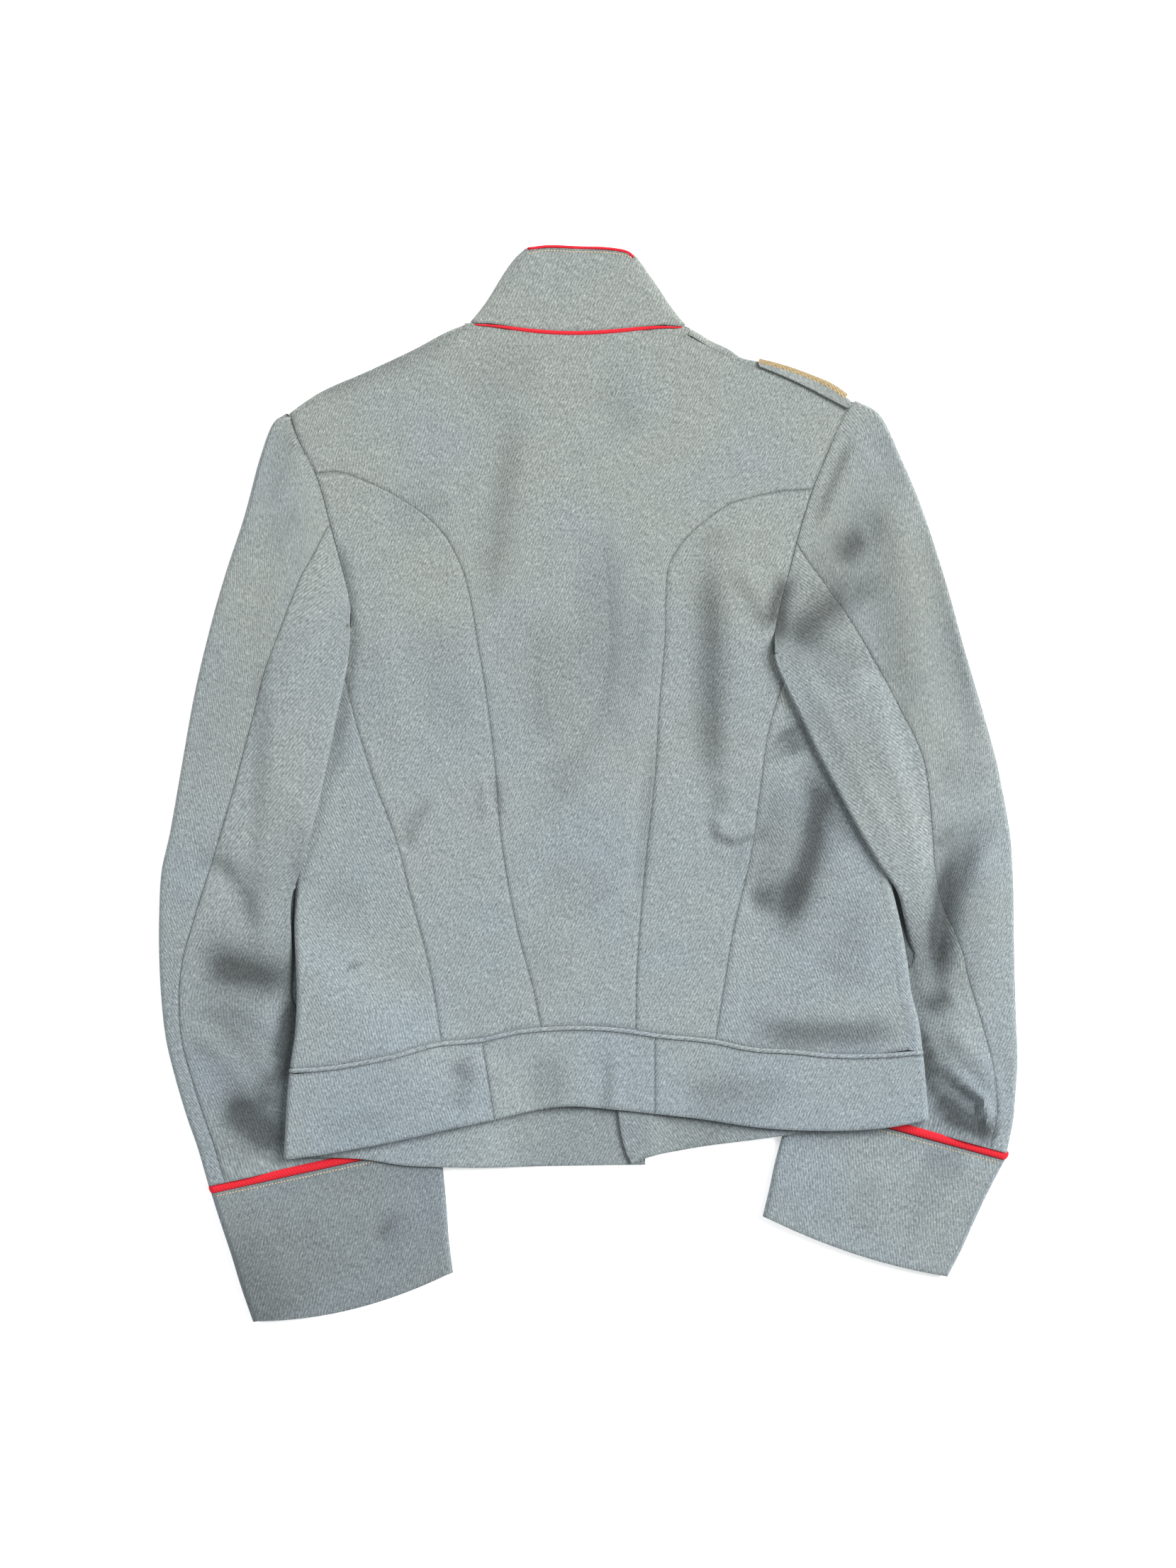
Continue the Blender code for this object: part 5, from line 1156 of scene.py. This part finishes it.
def turn_over(top, low, out, count):
    """Route and normals round a folded edge from a point above to one below."""
    middle = (top[2] + low[2]) / 2
    radius = (top[2] - low[2]) / 2
    angle = np.pi * np.arange(1, count) / count
    normals = np.stack([out[0] * np.sin(angle), out[1] * np.sin(angle), np.cos(angle)], axis=1)
    return np.array([top[0], top[1], middle]) + normals * radius, normals


# The piping starts at the fronts' edges, at these x on the lower waist seam
PIPING_START = {"left": 17.0, "right": 24.0}
WAIST_BEND = 12
FRONT_STEPS = 60
BACK_STEPS = 200
ends = {}
for side in (LEFT, RIGHT):
    under = front_height if side is LEFT else right_front_height
    end = np.array(side.edge[1], float)
    out = np.array([side.sign, 0.0])
    inner = end - out * float(back_height(*end) - under(*end)) / 2
    low = by_x(LOWER_WAIST, PIPING_START[side.name], inner[0], FRONT_STEPS, 0)
    low = pin(low, last=inner, share=0.08)
    low = place(low, under)
    top = np.array([*inner, float(back_height(*inner))])
    bend, bend_normals = turn_over(top, low[-1], out, WAIST_BEND)
    ends[side.name] = (inner, np.concatenate([low, bend[::-1]]),
                       np.concatenate([np.tile([0, 0, -1.0], (len(low), 1)), bend_normals[::-1]]))
x = np.linspace(ends["left"][0][0], ends["right"][0][0], BACK_STEPS)
back = place(np.stack([x, y_at(WAIST_SEAM, x)], axis=1), back_height)
route = np.concatenate([ends["left"][1], back, ends["right"][1][::-1]])
normals = np.concatenate([ends["left"][2], np.tile([0, 0, 1.0], (len(back), 1)), ends["right"][2][::-1]])
sweep("waistband_piping", route, normals, WAIST_PIPING, back_twill, "wool_twill")


# Collar
# A stiffened stand collar, folded flat at both sides so that its back lies on top of its fronts.
# Red piping runs along its top edge and in the seam at its base, with small tan stitches under the top one.
COLLAR_HEIGHT = 58.0
COLLAR_FOLD_LEFT = ((-83.5, 328), (-73.6, 341), (-51.6, 374.7), (-45, 381))
COLLAR_FOLD_RIGHT = ((69.5, 326), (64.6, 332), (49, 355.4), (34.5, 375.5))
COLLAR_TOP = ((-45, 381), (-36, 383.2), (-6.4, 383.1), (19.4, 381.8), (28.5, 379.9), (34.5, 375.5))
COLLAR_TOP_DROP = 3.4                # the cloth ends this far below the piping's top line
COLLAR_ROWS = 26
COLLAR_COLS = 60
FRONT_COLLAR_COLS = 44

folds = {}
for sign, line in ((-1, COLLAR_FOLD_LEFT), (1, COLLAR_FOLD_RIGHT)):
    edge = along(line, steps(COLLAR_ROWS))
    out = outward(edge, -sign)
    out[:] = out[COLLAR_ROWS // 2]
    inside = inset(edge, out, back_height, front_height)
    inside = pin(inside, inside[0] + (0, NECK_GROOVE), share=0.25)
    folds[sign] = (out, inside)
left = folds[-1][1]
right = folds[1][1]
low = along(NECK_SEAM, steps(COLLAR_COLS))
low[:, 1] += NECK_GROOVE
low = pin(low, left[0], right[0], 0.1)
high = along(COLLAR_TOP, steps(COLLAR_COLS))
high[:, 1] -= COLLAR_TOP_DROP
high = pin(high, left[-1], right[-1], 0.1)
upper = place(patch(low, high, left, right), back_height)
halves = []
for sign in (-1, 1):
    out, inside = folds[sign]
    edge_row = upper[:, 0] if sign < 0 else upper[:, -1]
    angle = steps(FRONT_COLLAR_COLS) * np.pi / 2
    half_top = abs(inside[-1, 0] - NECK_MIDDLE)
    drop_top = inside[-1, 1] - (FRONT_NECK + COLLAR_HEIGHT)
    top_x = NECK_MIDDLE + sign * half_top * np.cos(angle)
    top = np.stack([top_x, inside[-1, 1] - drop_top * np.sin(angle)], axis=1)
    base = pin(neckline(sign, FRONT_COLLAR_COLS, -NECK_GROOVE), inside[0], share=0.1)
    middle = np.stack([top[-1] * s + base[-1] * (1 - s) for s in steps(COLLAR_ROWS)])
    strip = patch(base, top, edge_row[:, :2], middle)
    strip[:, -1, 0] += sign * 0.3
    strip = place(strip, front_height)
    strip[:, 0, :2] = edge_row[:, :2]
    halves.append((fold(edge_row, strip[:, 0], out), strip))
(wrap_left, strip_left), (wrap_right, strip_right) = halves
collar_net = np.concatenate([strip_left[:, ::-1], wrap_left[:, ::-1], upper, wrap_right, strip_right], axis=1)
cloth("collar", [collar_net], back_twill)


SMOOTHINGS = 10


def edge_piping(net, row, away):
    """Route and normals along one edge row of the collar."""
    line = net[row]
    inward = net[row + (1 if row == 0 else -1)] - line
    along_row = unit(np.gradient(line, axis=0))
    inward = unit(inward - along_row * np.sum(inward * along_row, axis=1, keepdims=True))
    normal = np.cross(along_row, inward) * (1 if row == 0 else -1)
    route = line - inward * away
    for turn in range(SMOOTHINGS):
        for part in (route, normal):
            part[1:-1] = (part[:-2] + 2 * part[1:-1] + part[2:]) / 4
    return route, unit(normal)


# Red wool piping: a soft cord in scarlet cloth, fuzzy and a little faded on its crown
PIPING_RED = 0xB80C1C
PIPING_CROWN = 0xCC2230
PIPING_TWIST = 0.0012
red_piping, tree, shader = new_material("scarlet_wool_piping")
weave = add(tree, "ShaderNodeTexCoord").outputs["UV"]
twist = add(tree, "ShaderNodeTexWave", {"Vector": weave, "Scale": BAND_UNIT / PIPING_TWIST, "Distortion": 2.0,
                                        "Detail": 2.0}, bands_direction="DIAGONAL")
fuzz = add(tree, "ShaderNodeTexNoise", {"Vector": weave, "Scale": 1200.0, "Detail": 3.0})
both = add(tree, "ShaderNodeMath", {0: twist.outputs["Fac"], 1: 0.35, 2: fuzz.outputs["Fac"]},
           operation="MULTIPLY_ADD")
tone = add(tree, "ShaderNodeMapRange", {"Value": both.outputs[0], "From Min": 0.35, "From Max": 1.0})
red = add(tree, "ShaderNodeMix", {"Factor": tone.outputs["Result"], 6: linear(PIPING_RED),
                                  7: linear(PIPING_CROWN)}, data_type="RGBA")
bump = add(tree, "ShaderNodeBump", {"Strength": 0.5, "Distance": 0.0004, "Height": both.outputs[0]})
fill(tree, shader, {"Base Color": red.outputs[2], "Roughness": 0.85, "Specular IOR Level": 0.3,
                    "Sheen Weight": 0.05, "Normal": bump.outputs["Normal"]})

sweep("collar_top_piping", *edge_piping(collar_net, -1, NECK_GROOVE), COLLAR_PIPING, red_piping, "red_piping",
      girth=0.8)
# the lower one is pressed thin towards both ends of the neck, where the collar turns over
NECK_HALF = 86
FULL_GIRTH = 1.15
THINNER = 0.75
THIN_FROM = 0.35
THIN_RUN = 0.6
route, normals = edge_piping(collar_net, 0, NECK_GROOVE)
reach = np.abs(route[:, 0] - NECK_MIDDLE) / NECK_HALF
taper = FULL_GIRTH - THINNER * ease((reach - THIN_FROM) / THIN_RUN)
sweep("collar_base_piping", route, normals, COLLAR_PIPING, red_piping, "red_piping", girth=taper[:, None])


INNER_WALL = 0.4


def backing(name, first, second, finish):
    """A layer inside the jacket that shows only in the depth of a gap, between two lines of points."""
    points = np.concatenate([first, second]) * MM
    faces = quads(2, len(first), False)
    mesh = bpy.data.meshes.new(name)
    mesh.from_pydata(points, [], faces.tolist())
    mesh.uv_layers.new(name="weave").data.foreach_set("uv", points[faces.ravel(), :2].ravel())
    piece = new_piece(name, mesh, finish)
    piece.modifiers.new("thickness", "SOLIDIFY").thickness = INNER_WALL * MM


def below_back(depth):
    """The height of a layer that lies this far below the back's face."""
    return lambda x, y: back_height(x, y) - depth


# the neck's seam allowance lies under the piping
# a copy of the twill darkened by painted shade, for the sleeves' lower layers seen in the gaps
painted_shade_twill = wool("melange_wool_twill_painted_shade", shade=0xB4B4B4)
line = along(NECK_SEAM, steps(COLLAR_COLS))
line[0] -= (4.2, 1.2)
line[-1] += (3.2, -2.6)
backing("neck_seam_allowance", place(line - (0, 9), below_back(0.9)), place(line + (0, 0.5), below_back(0.9)),
        back_twill)


STITCH_PITCH = 2.2
STITCH_SIZE = (1.3, 0.7, 0.5)        # length, width and height
# a low arched bar: sunk at both ends, proud in the middle
STITCH_CORNERS = ((-0.5, 0.3, -0.4), (-0.5, -0.3, -0.4), (-0.15, 0.5, 0.6), (-0.15, -0.5, 0.6),
                  (0.15, 0.5, 0.6), (0.15, -0.5, 0.6), (0.5, 0.3, -0.4), (0.5, -0.3, -0.4))
STITCH_FACES = np.array([(0, 1, 3, 2), (2, 3, 5, 4), (4, 5, 7, 6), (0, 2, 4, 6), (7, 5, 3, 1), (6, 7, 1, 0)])


def stitches(name, route, thread):
    """A row of short stitches along a route on top of the cloth."""
    run = run_of(route)
    spots = np.arange(STITCH_PITCH / 2, run[-1], STITCH_PITCH)
    before, at, ahead = [np.stack([np.interp(spots + shift, run, route[:, k]) for k in range(3)], axis=1)
                         for shift in (-0.5, 0, 0.5)]
    forward = unit(ahead - before)
    side_way = np.cross([0, 0, 1.0], forward)
    corners = []
    for a, b, c in STITCH_CORNERS * np.array(STITCH_SIZE):
        corners.append(at + forward * a + side_way * b + (0, 0, c))
    mesh = bpy.data.meshes.new(name)
    faces = np.concatenate([STITCH_FACES + len(corners) * n for n in range(len(spots))])
    mesh.from_pydata(np.stack(corners, axis=1).reshape(-1, 3) * MM, [], faces.tolist())
    new_piece(name, mesh, thread)


# Tan buttonhole silk for the visible hand stitches
THREAD_TAN = 0xC4AF84
STITCHES_BELOW = 5.2                 # from the collar's top line
tan_thread, tree, shader = new_material("tan_silk_thread")
fill(tree, shader, {"Base Color": linear(THREAD_TAN), "Roughness": 0.6})
line = along(COLLAR_TOP, steps(COLLAR_COLS))
inside_of = (line[:, 0] > left[-1, 0] - 1) & (line[:, 0] < right[-1, 0] + 1)
stitches("collar_top_stitches", place(line[inside_of] - (0, STITCHES_BELOW), below_back(-0.1)), tan_thread)


# Sleeves
# Two pieces to each arm, sewn along the hind arm and the hidden forearm seam, and set into the armholes.
# They are laid over the sides of the body, bend at the elbows and run under the waistband at the wrists.
CUFF_PIPING = Piping(5.0, 2.4, 0.5)
CUFF_GROOVE = CUFF_PIPING.width / 2 + 0.1
OVER_BODY = 8.8
HIDDEN_TOP = 6.4
OVER_SIDE = (36.0, 18.0)             # the lap reaches this far outside the body's edge, and its ramp
OVER_LAP = (17.0, 13.0)              # the same across the armhole's lowest stretch
OVER_RISE = 5.6                      # the top layer rises this much where a sleeve lies on the body
FREE_SLEEVE = (6.0, 22.0)            # outside the body's edge the sleeve is free from here, and its ramp
FREE_RISE = 1.8
BARE_RAMP = 40.0                     # run over which a sleeve goes from lying bare to lying under the body
SLEEVE_PLUMP = 2.2                   # rise of a sleeve's middle over its edges
SLEEVE_GAP = 0.6

SLEEVE_CREASES = {
    "left": (
        creased("roll",
            (-2.0, 18, (-287, -59), (-263, -54), (-245, -73), (-237, -109)),
            (-2.8, 28, (-287, -124), (-263, -129), (-238, -137), (-209, -147)),
            (0.5, 28, (-283, -145), (-253, -154), (-227, -164), (-212, -172)),
            (-1.7, 10, (-282, -157), (-258, -173), (-234, -200), (-221, -220)),
            (1.4, 10, (-284, -174), (-263, -189), (-242, -213)),
            (-1.5, 9, (-268, -158), (-243, -169), (-219, -195)),
            (-2.8, 26, (-268, -222), (-248, -234), (-229, -250), (-216, -263)),
            (0.5, 26, (-273, -240), (-253, -252), (-234, -270)),
            (-0.6, 18, (-263, -17), (-253, 48), (-237, 114), (-221, 155)),
            (0.9, 20, (-231, -38), (-221, 33), (-207, 104), (-197, 155)),
            (-1.0, 12, (-225, -98), (-221, -48), (-213, -2)),
            (-1.2, 12, (-233, 155), (-219, 185), (-202, 198)),
            (0.7, 20, (-268, -7), (-259, 53), (-248, 114)),
            (-1.3, 12, (-205, 261), (-219, 230), (-231, 190)))
        + creased("step",
            (1.3, 14, (-237, -114), (-243, -79), (-259, -56), (-287, -55)),
            (-0.5, 26, (-287, -117), (-258, -124), (-233, -133), (-208, -141)),
            (-0.8, 22, (-268, -213), (-245, -227), (-226, -243), (-215, -257)))
        + creased("shade",
            (5.5, 20, (-276, -128), (-248, -132), (-219, -139), (-202, -144)),
            (8.5, 18, (-260, -224), (-245, -236), (-227, -251), (-212, -263)),
            (5.6, 12, (-215, -270), (-218, -230), (-215, -184), (-207, -144), (-204, -78), (-201, -7)),
            (10.0, 12, (-203, -149), (-212, -169), (-216, -189), (-211, -215)),
            (5.0, 12, (-221, -200), (-229, -215), (-230, -235)),
            (2.1, 50, (-268, -73), (-253, -189), (-227, -301)),
            # a small dark dot on the nap
            (4.5, 2.4, (-247, -15), (-244, -15), (-241, -14)))
    ),
    "right": (
        creased("roll",
            (-1.3, 18, (179, 155), (187, 171), (201, 182), (214, 188)),
            (-1.3, 20, (136, 101), (155, 115), (177, 135), (211, 141)),
            (1.0, 18, (152, 133), (172, 151), (195, 160), (213, 162)),
            (-1.2, 12, (173, 139), (162, 155), (152, 170)),
            (4.0, 26, (240, 23), (231, 74), (220, 139), (213, 210), (204, 246)),
            (-1.7, 20, (264, 28), (260, 84), (247, 144), (233, 200)),
            (1.8, 18, (285, 13), (277, 74), (261, 139)),
            (2.0, 26, (294, 3), (273, 18), (248, 10)),
            (-3.6, 18, (241, -158), (247, -119), (253, -78), (266, -43), (290, -17)),
            (3.0, 22, (273, -159), (278, -119), (282, -78), (291, -48)),
            (-1.6, 10, (294, -250), (281, -251), (263, -245), (248, -236)),
            (-1.6, 12, (291, -251), (286, -249), (279, -244)),
            (3.0, 14, (290, -230), (281, -205), (264, -184), (248, -169)),
            (-0.6, 10, (299, -230), (293, -200), (284, -169)),
            (-1.2, 12, (198, 256), (213, 225), (222, 185)))
        + creased("step",
            (-0.9, 16, (177, 161), (185, 177), (199, 188), (213, 194)),
            (1.0, 18, (139, 95), (158, 110), (180, 129), (211, 135)),
            (-0.6, 22, (253, 43), (244, 104), (233, 165), (222, 215)),
            (2.4, 18, (247, -159), (254, -119), (261, -79), (275, -46), (294, -23)),
            (1.2, 6, (246, -41), (255, -37), (261, -33)),
            (1.2, 14, (147, 104), (177, 48), (208, -12), (228, -58)),
            (3.6, 7, (281, -260), (279, -231), (277, -224), (266, -215), (254, -203),
             (243, -187), (231, -159)))
        + creased("shade",
            (5.5, 8, (280, -250), (271, -228), (261, -218), (248, -204), (238, -188), (226, -159)),
            (8.0, 11, (268, -244), (255, -228), (243, -213), (237, -195), (235, -169)),
            (9.6, 15, (243, -228), (258, -234), (277, -244), (293, -253)),
            (6.5, 12, (253, -154), (249, -134), (248, -103), (252, -78), (258, -53), (267, -38)),
            (3.6, 24, (135, 114), (152, 98), (177, 86), (206, 79)),
            (1.6, 30, (142, 64), (177, 33), (208, -12)),
            (4.0, 14, (219, -78), (230, -119), (234, -164), (238, -205), (242, -230)),
            (7.0, 14, (237, -162), (250, -154), (261, -148)),
            (3.3, 8, (241, -44), (253, -38), (264, -32)),
            # a small dark dot on the nap
            (4.5, 2.4, (267, 23), (270, 23), (273, 24)),
            (6.4, 17, (177, 152), (186, 169), (198, 179)),
            (2.4, 14, (187, 133), (209, 138)),
            (8.5, 11, (147, 155), (138, 129), (134, 104), (138, 89)),
            (5.0, 7, (191, 251), (180, 228), (168, 199), (159, 180)),
            (5.6, 22, (133, 99), (157, 114), (179, 131), (199, 137)))
    ),
}

SLEEVE_SPLIT = 12
TOP_COLS = 20
UNDER_COLS = 24
LOWER_COLS = 20
LOWER_SEAM = 4
SLEEVE_SEAM = 0.12                   # half the gap that is left at a sleeve's seams
HEAD_RUN = {"upper": 7, "lower": 10}     # stations over which the sleeve head's curve fades out
HOLE_GAP = {"upper": 0.3, "lower": 0.7}  # the sleeve head stops this far short of the armhole
ALLOWANCE = 2.2
GAP_LAYER_Z = 5.0
GAP_LAP = 2                          # the layer in the gap reaches this far under the cloth on both sides
GAP_ROWS = np.linspace(-40, -205, 40)


def over_body(side, x, y):
    """1 where the sleeve lies on the body, 0 clear of it."""
    beyond = side.sign * (x - x_at(side.edge, y))
    above = side.sign * -off_line(x, y, side.armpit, side.lap)
    low, high = side.cross
    on_side = ease((OVER_SIDE[0] - beyond) / OVER_SIDE[1])
    on_lap = ease((OVER_LAP[0] - above) / OVER_LAP[1])
    return on_side * on_lap * ease((y - low) / (high - low))


def sleeve_height(side, x, y, share, row):
    over = over_body(side, x, y)
    edge = x_at(side.edge, np.maximum(y, side.edge[0][1]))
    free = ease((side.sign * (x - edge) - FREE_SLEEVE[0]) / FREE_SLEEVE[1])
    bare = ease((y - side.cross[0]) / BARE_RAMP + 0.5)
    open_cloth = np.maximum(bare, free)
    rest = BACK_TOP * bare + (HIDDEN_TOP + FREE_RISE * free) * (1 - bare)
    plump = 4 * SLEEVE_PLUMP * share * (1 - share) * ease(row / 3) * (1 - 0.7 * over) * open_cloth
    creased = relief(SLEEVE_CREASES[side.name], x, y)
    z = rest + plump + OVER_RISE * over + creased * open_cloth * ease(row / 1.5)
    return np.maximum(z, OVER_BODY * over + 2 * WALL + SLEEVE_GAP)


for side in (LEFT, RIGHT):
    count = len(side.stations)
    at = np.linspace(0, count - 1, (count - 1) * SLEEVE_SPLIT + 1)
    table = np.asarray(side.stations, float)
    outer_x, outer_y, inner_x, inner_y, hind = [smooth(np.arange(count), table[:, k], at) for k in range(5)]
    outer = np.stack([outer_x, outer_y], axis=1)
    inner = np.stack([inner_x, inner_y], axis=1)
    end = unit(inner[-1] - outer[-1])
    first_turn = np.clip(1 - at * 2, 0, 1)
    last_turn = np.clip(1 - (at[-1] - at) * 2, 0, 1)
    out_outer = lean(lean(outward(outer, side.sign), TIP_OUT[side.name], first_turn), -end, last_turn)
    out_inner = lean(outward(inner, -side.sign), end, last_turn)

    def flat_top(x, y):
        return sleeve_height(side, x, y, 0, at)

    def under(x, y):
        return OVER_BODY * over_body(side, x, y)

    outer_in = inset(outer, out_outer, flat_top, under)
    inner_in = inset(inner, out_inner, flat_top, under) - end * last_turn[:, None]
    hole = np.asarray(side.armhole, float)
    first = np.concatenate([along(hole[:side.hind + 1], steps(TOP_COLS, 0.6)),
                            along(hole[side.hind:], steps(UNDER_COLS, 0.6))[1:]])
    shares = np.concatenate([hind[:, None] * steps(TOP_COLS, 0.6),
                             hind[:, None] + (1 - hind[:, None]) * steps(UNDER_COLS, 0.6)[1:]], axis=1)
    net = outer_in[:, None] * (1 - shares[..., None]) + inner_in[:, None] * shares[..., None]
    bend = first - net[0]
    bend[0] = 0
    bend[-1] = 0
    net += bend[None] * ease(1 - at / HEAD_RUN["upper"])[:, None, None]
    z = sleeve_height(side, net[..., 0], net[..., 1], shares, at[:, None])
    upper = np.concatenate([net, z[..., None]], axis=-1)
    spread = steps(LOWER_COLS)
    ring = along(LOWER_ARMHOLE[side.name] + (side.lap,), spread)
    lower = outer_in[:, None] * (1 - spread[None, :, None]) + inner_in[:, None] * spread[None, :, None]
    bend = ring - lower[0]
    bend[0] = 0
    bend[-1] = 0
    lower += bend[None] * np.clip(1 - at / HEAD_RUN["lower"], 0, 1)[:, None, None]
    lower = place(lower, under)
    up_arm = np.array([-end[1], end[0]]) * -side.sign
    for part, gap in ((upper, HOLE_GAP["upper"]), (lower, HOLE_GAP["lower"])):
        part[0] += unit(part[1] - part[0]) * gap
        part[..., :2] += up_arm * (CUFF_GROOVE * last_turn)[:, None, None]
    lower[:, 0, :2] = upper[:, 0, :2]
    lower[:, -1, :2] = upper[:, -1, :2]
    wrap_outer = fold(upper[:, 0], lower[:, 0], out_outer)
    wrap_inner = fold(upper[:, -1], lower[:, -1], out_inner)
    top_upper = dip(upper[:, :TOP_COLS + 1], low=0.8, high=0.6, right=1)
    under_upper = dip(upper[:, TOP_COLS:], low=0.8, high=0.6, left=1)
    top_net = np.concatenate([top_upper[:, ::-1], wrap_outer, lower[:, :LOWER_SEAM + 1]], axis=1)
    under_net = np.concatenate([under_upper, wrap_inner, lower[:, :LOWER_SEAM - 1:-1]], axis=1)
    for name, part, flip in (("top_sleeve_", top_net, side is RIGHT),
                             ("under_sleeve_", under_net, side is LEFT)):
        part = draw_in(part, rows=(0, 0), cols=(SLEEVE_SEAM, SLEEVE_SEAM))
        cloth(name + side.name, [part], back_twill, flip=flip, grain="down the arm",
              creases=SLEEVE_CREASES[side.name])
    # the armhole's seam allowance lies under its seam
    hole = along(side.armhole, steps(40))
    hole[0] += (hole[1] - hole[0]) / 2
    backing("armhole_seam_allowance_" + side.name, place(hole - (ALLOWANCE, 0), below_back(1.2)),
            place(hole + (ALLOWANCE, 0), below_back(1.2)), back_twill)
    # where the arm stands off from the body its own lower layer shows in the gap, its cloth darkened by
    # painted shade
    level = np.full(len(GAP_ROWS), GAP_LAYER_Z)
    x_sleeve = sleeve_edge(side, GAP_ROWS)
    x_body = x_at(side.edge, GAP_ROWS)
    x_sleeve = np.where(side.sign * (x_sleeve - x_body) > 0, x_sleeve + GAP_LAP * side.sign, x_body)
    x_body = x_body - GAP_LAP * side.sign
    backing("sleeve_gap_layer_" + side.name, np.stack([x_sleeve, GAP_ROWS, level], axis=1),
            np.stack([x_body, GAP_ROWS, level], axis=1), painted_shade_twill)


# Cuffs
# Deep turned cuffs, each one doubled piece with a folded edge at its hem, laid flat.
# Red piping rings the top of each, with a row of small tan stitches just below it.
# Silhouette outside and inside, and how far the row bows towards the hem
CuffRow = namedtuple("CuffRow", "outer_x outer_y inner_x inner_y bow")
CUFF_ROWS = {
    "left": (
        CuffRow(-269.3, -288.5, -105.9, -252, 0), CuffRow(-262, -311, -102.8, -278, 2),
        CuffRow(-254, -335, -100.5, -302, 4), CuffRow(-247, -358, -98.8, -325, 7),
        CuffRow(-238.5, -382.5, -96, -347.5, 8),
    ),
    "right": (
        CuffRow(298.5, -265, 147.3, -223.2, 0), CuffRow(286, -288, 139, -248, 2),
        CuffRow(275.5, -310, 133, -270, 3), CuffRow(266, -331, 129, -288, 4),
        CuffRow(256, -350.5, 124.3, -307.5, 5),
    ),
}
CUFF_WALL = 2.4
CUFF_TOP = 8.2
CUFF_CREASES = {
    "left": (
        creased("roll",
            (-0.9, 12, (-144, -334), (-142, -316), (-138, -301)),
            (0.8, 22, (-207, -301), (-182, -326), (-177, -356)))
        + creased("shade",
            (2.4, 8, (-151, -322), (-144, -316), (-138, -310)),
            (3.0, 60, (-278, -321), (-243, -367), (-207, -402)))
    ),
    "right": (
        creased("roll",
            (-0.9, 14, (227, -331), (233, -301), (238, -270)),
            (0.8, 20, (198, -321), (203, -291), (208, -265)))
        + creased("shade",
            (2.6, 22, (233, -266), (253, -270), (273, -270)))
    ),
}
CUFF_COLS = 44
# painted shade over each whole cuff, darker on the left one, which is tipped away from the light
CUFF_PAINTED_SHADE = {"left": 0.26, "right": 0.06}
HEM_Y = {"left": -282, "right": -262}
HEM_RAMP = 25
CUFF_STEPS = 30
CUFF_START = 0.13                    # in rows of the table: the cloth starts here, the stitches lower down
STITCH_ROW = 0.22
RING_COLS = 80
RING_STEPS = 12
CUFF_GIRTH = 1.3


def cuff_height(side, x, y):
    """Cuffs are low under the body and full below its hem."""
    clear = ease((HEM_Y[side.name] - y) / HEM_RAMP)
    return HIDDEN_TOP + (CUFF_TOP - HIDDEN_TOP) * clear + relief(CUFF_CREASES[side.name], x, y)


def cuff_ring(side, rows, steps_round, cols):
    """Rings of the flattened cuff at the given rows."""
    table = np.asarray(CUFF_ROWS[side.name], float)
    knots = np.arange(len(table))
    outer_x, outer_y, inner_x, inner_y, bow = [smooth(knots, column, rows) for column in table.T]
    outer = np.stack([outer_x, outer_y], axis=1)
    inner = np.stack([inner_x, inner_y], axis=1)
    across = unit(inner - outer)
    start = outer + across * (cuff_height(side, outer_x, outer_y) / 2)[:, None]
    end = inner - across * (cuff_height(side, inner_x, inner_y) / 2)[:, None]
    spread = steps(cols)
    flat = start[:, None] * (1 - spread[None, :, None]) + end[:, None] * spread[None, :, None]
    flat[..., 1] -= bow[:, None] * 4 * spread * (1 - spread)
    upper = place(flat, lambda x, y: cuff_height(side, x, y))
    lower = upper.copy()
    lower[..., 2] = 0
    wrap_inner = fold(upper[:, -1], lower[:, -1], across, steps_round)
    wrap_outer = fold(upper[:, 0], lower[:, 0], -across, steps_round)
    return np.concatenate([upper, wrap_inner, lower[:, ::-1], wrap_outer[:, ::-1]], axis=1)


for side in (LEFT, RIGHT):
    rows = CUFF_START + (len(CUFF_ROWS[side.name]) - 1 - CUFF_START) * steps(CUFF_STEPS)
    net = cuff_ring(side, rows, FOLD_STEPS, CUFF_COLS)
    cloth("cuff_" + side.name, [net], back_twill, wall=CUFF_WALL, ring=True, flip=side is LEFT,
          grain="down the arm", creases=CUFF_CREASES[side.name], tone=CUFF_PAINTED_SHADE[side.name])
    line, below, stitched = cuff_ring(side, np.array([0.0, 0.1, STITCH_ROW]), RING_STEPS, RING_COLS)
    run = np.roll(line, -1, axis=0) - np.roll(line, 1, axis=0)
    normal = unit(np.cross(run, below - line) * side.sign)
    sweep("cuff_piping_" + side.name, line, normal, CUFF_PIPING, red_piping, "red_piping", closed=True,
          girth=CUFF_GIRTH)
    stitches("cuff_stitches_" + side.name, stitched[:RING_COLS + 1] + (0, 0, 0.1), tan_thread)
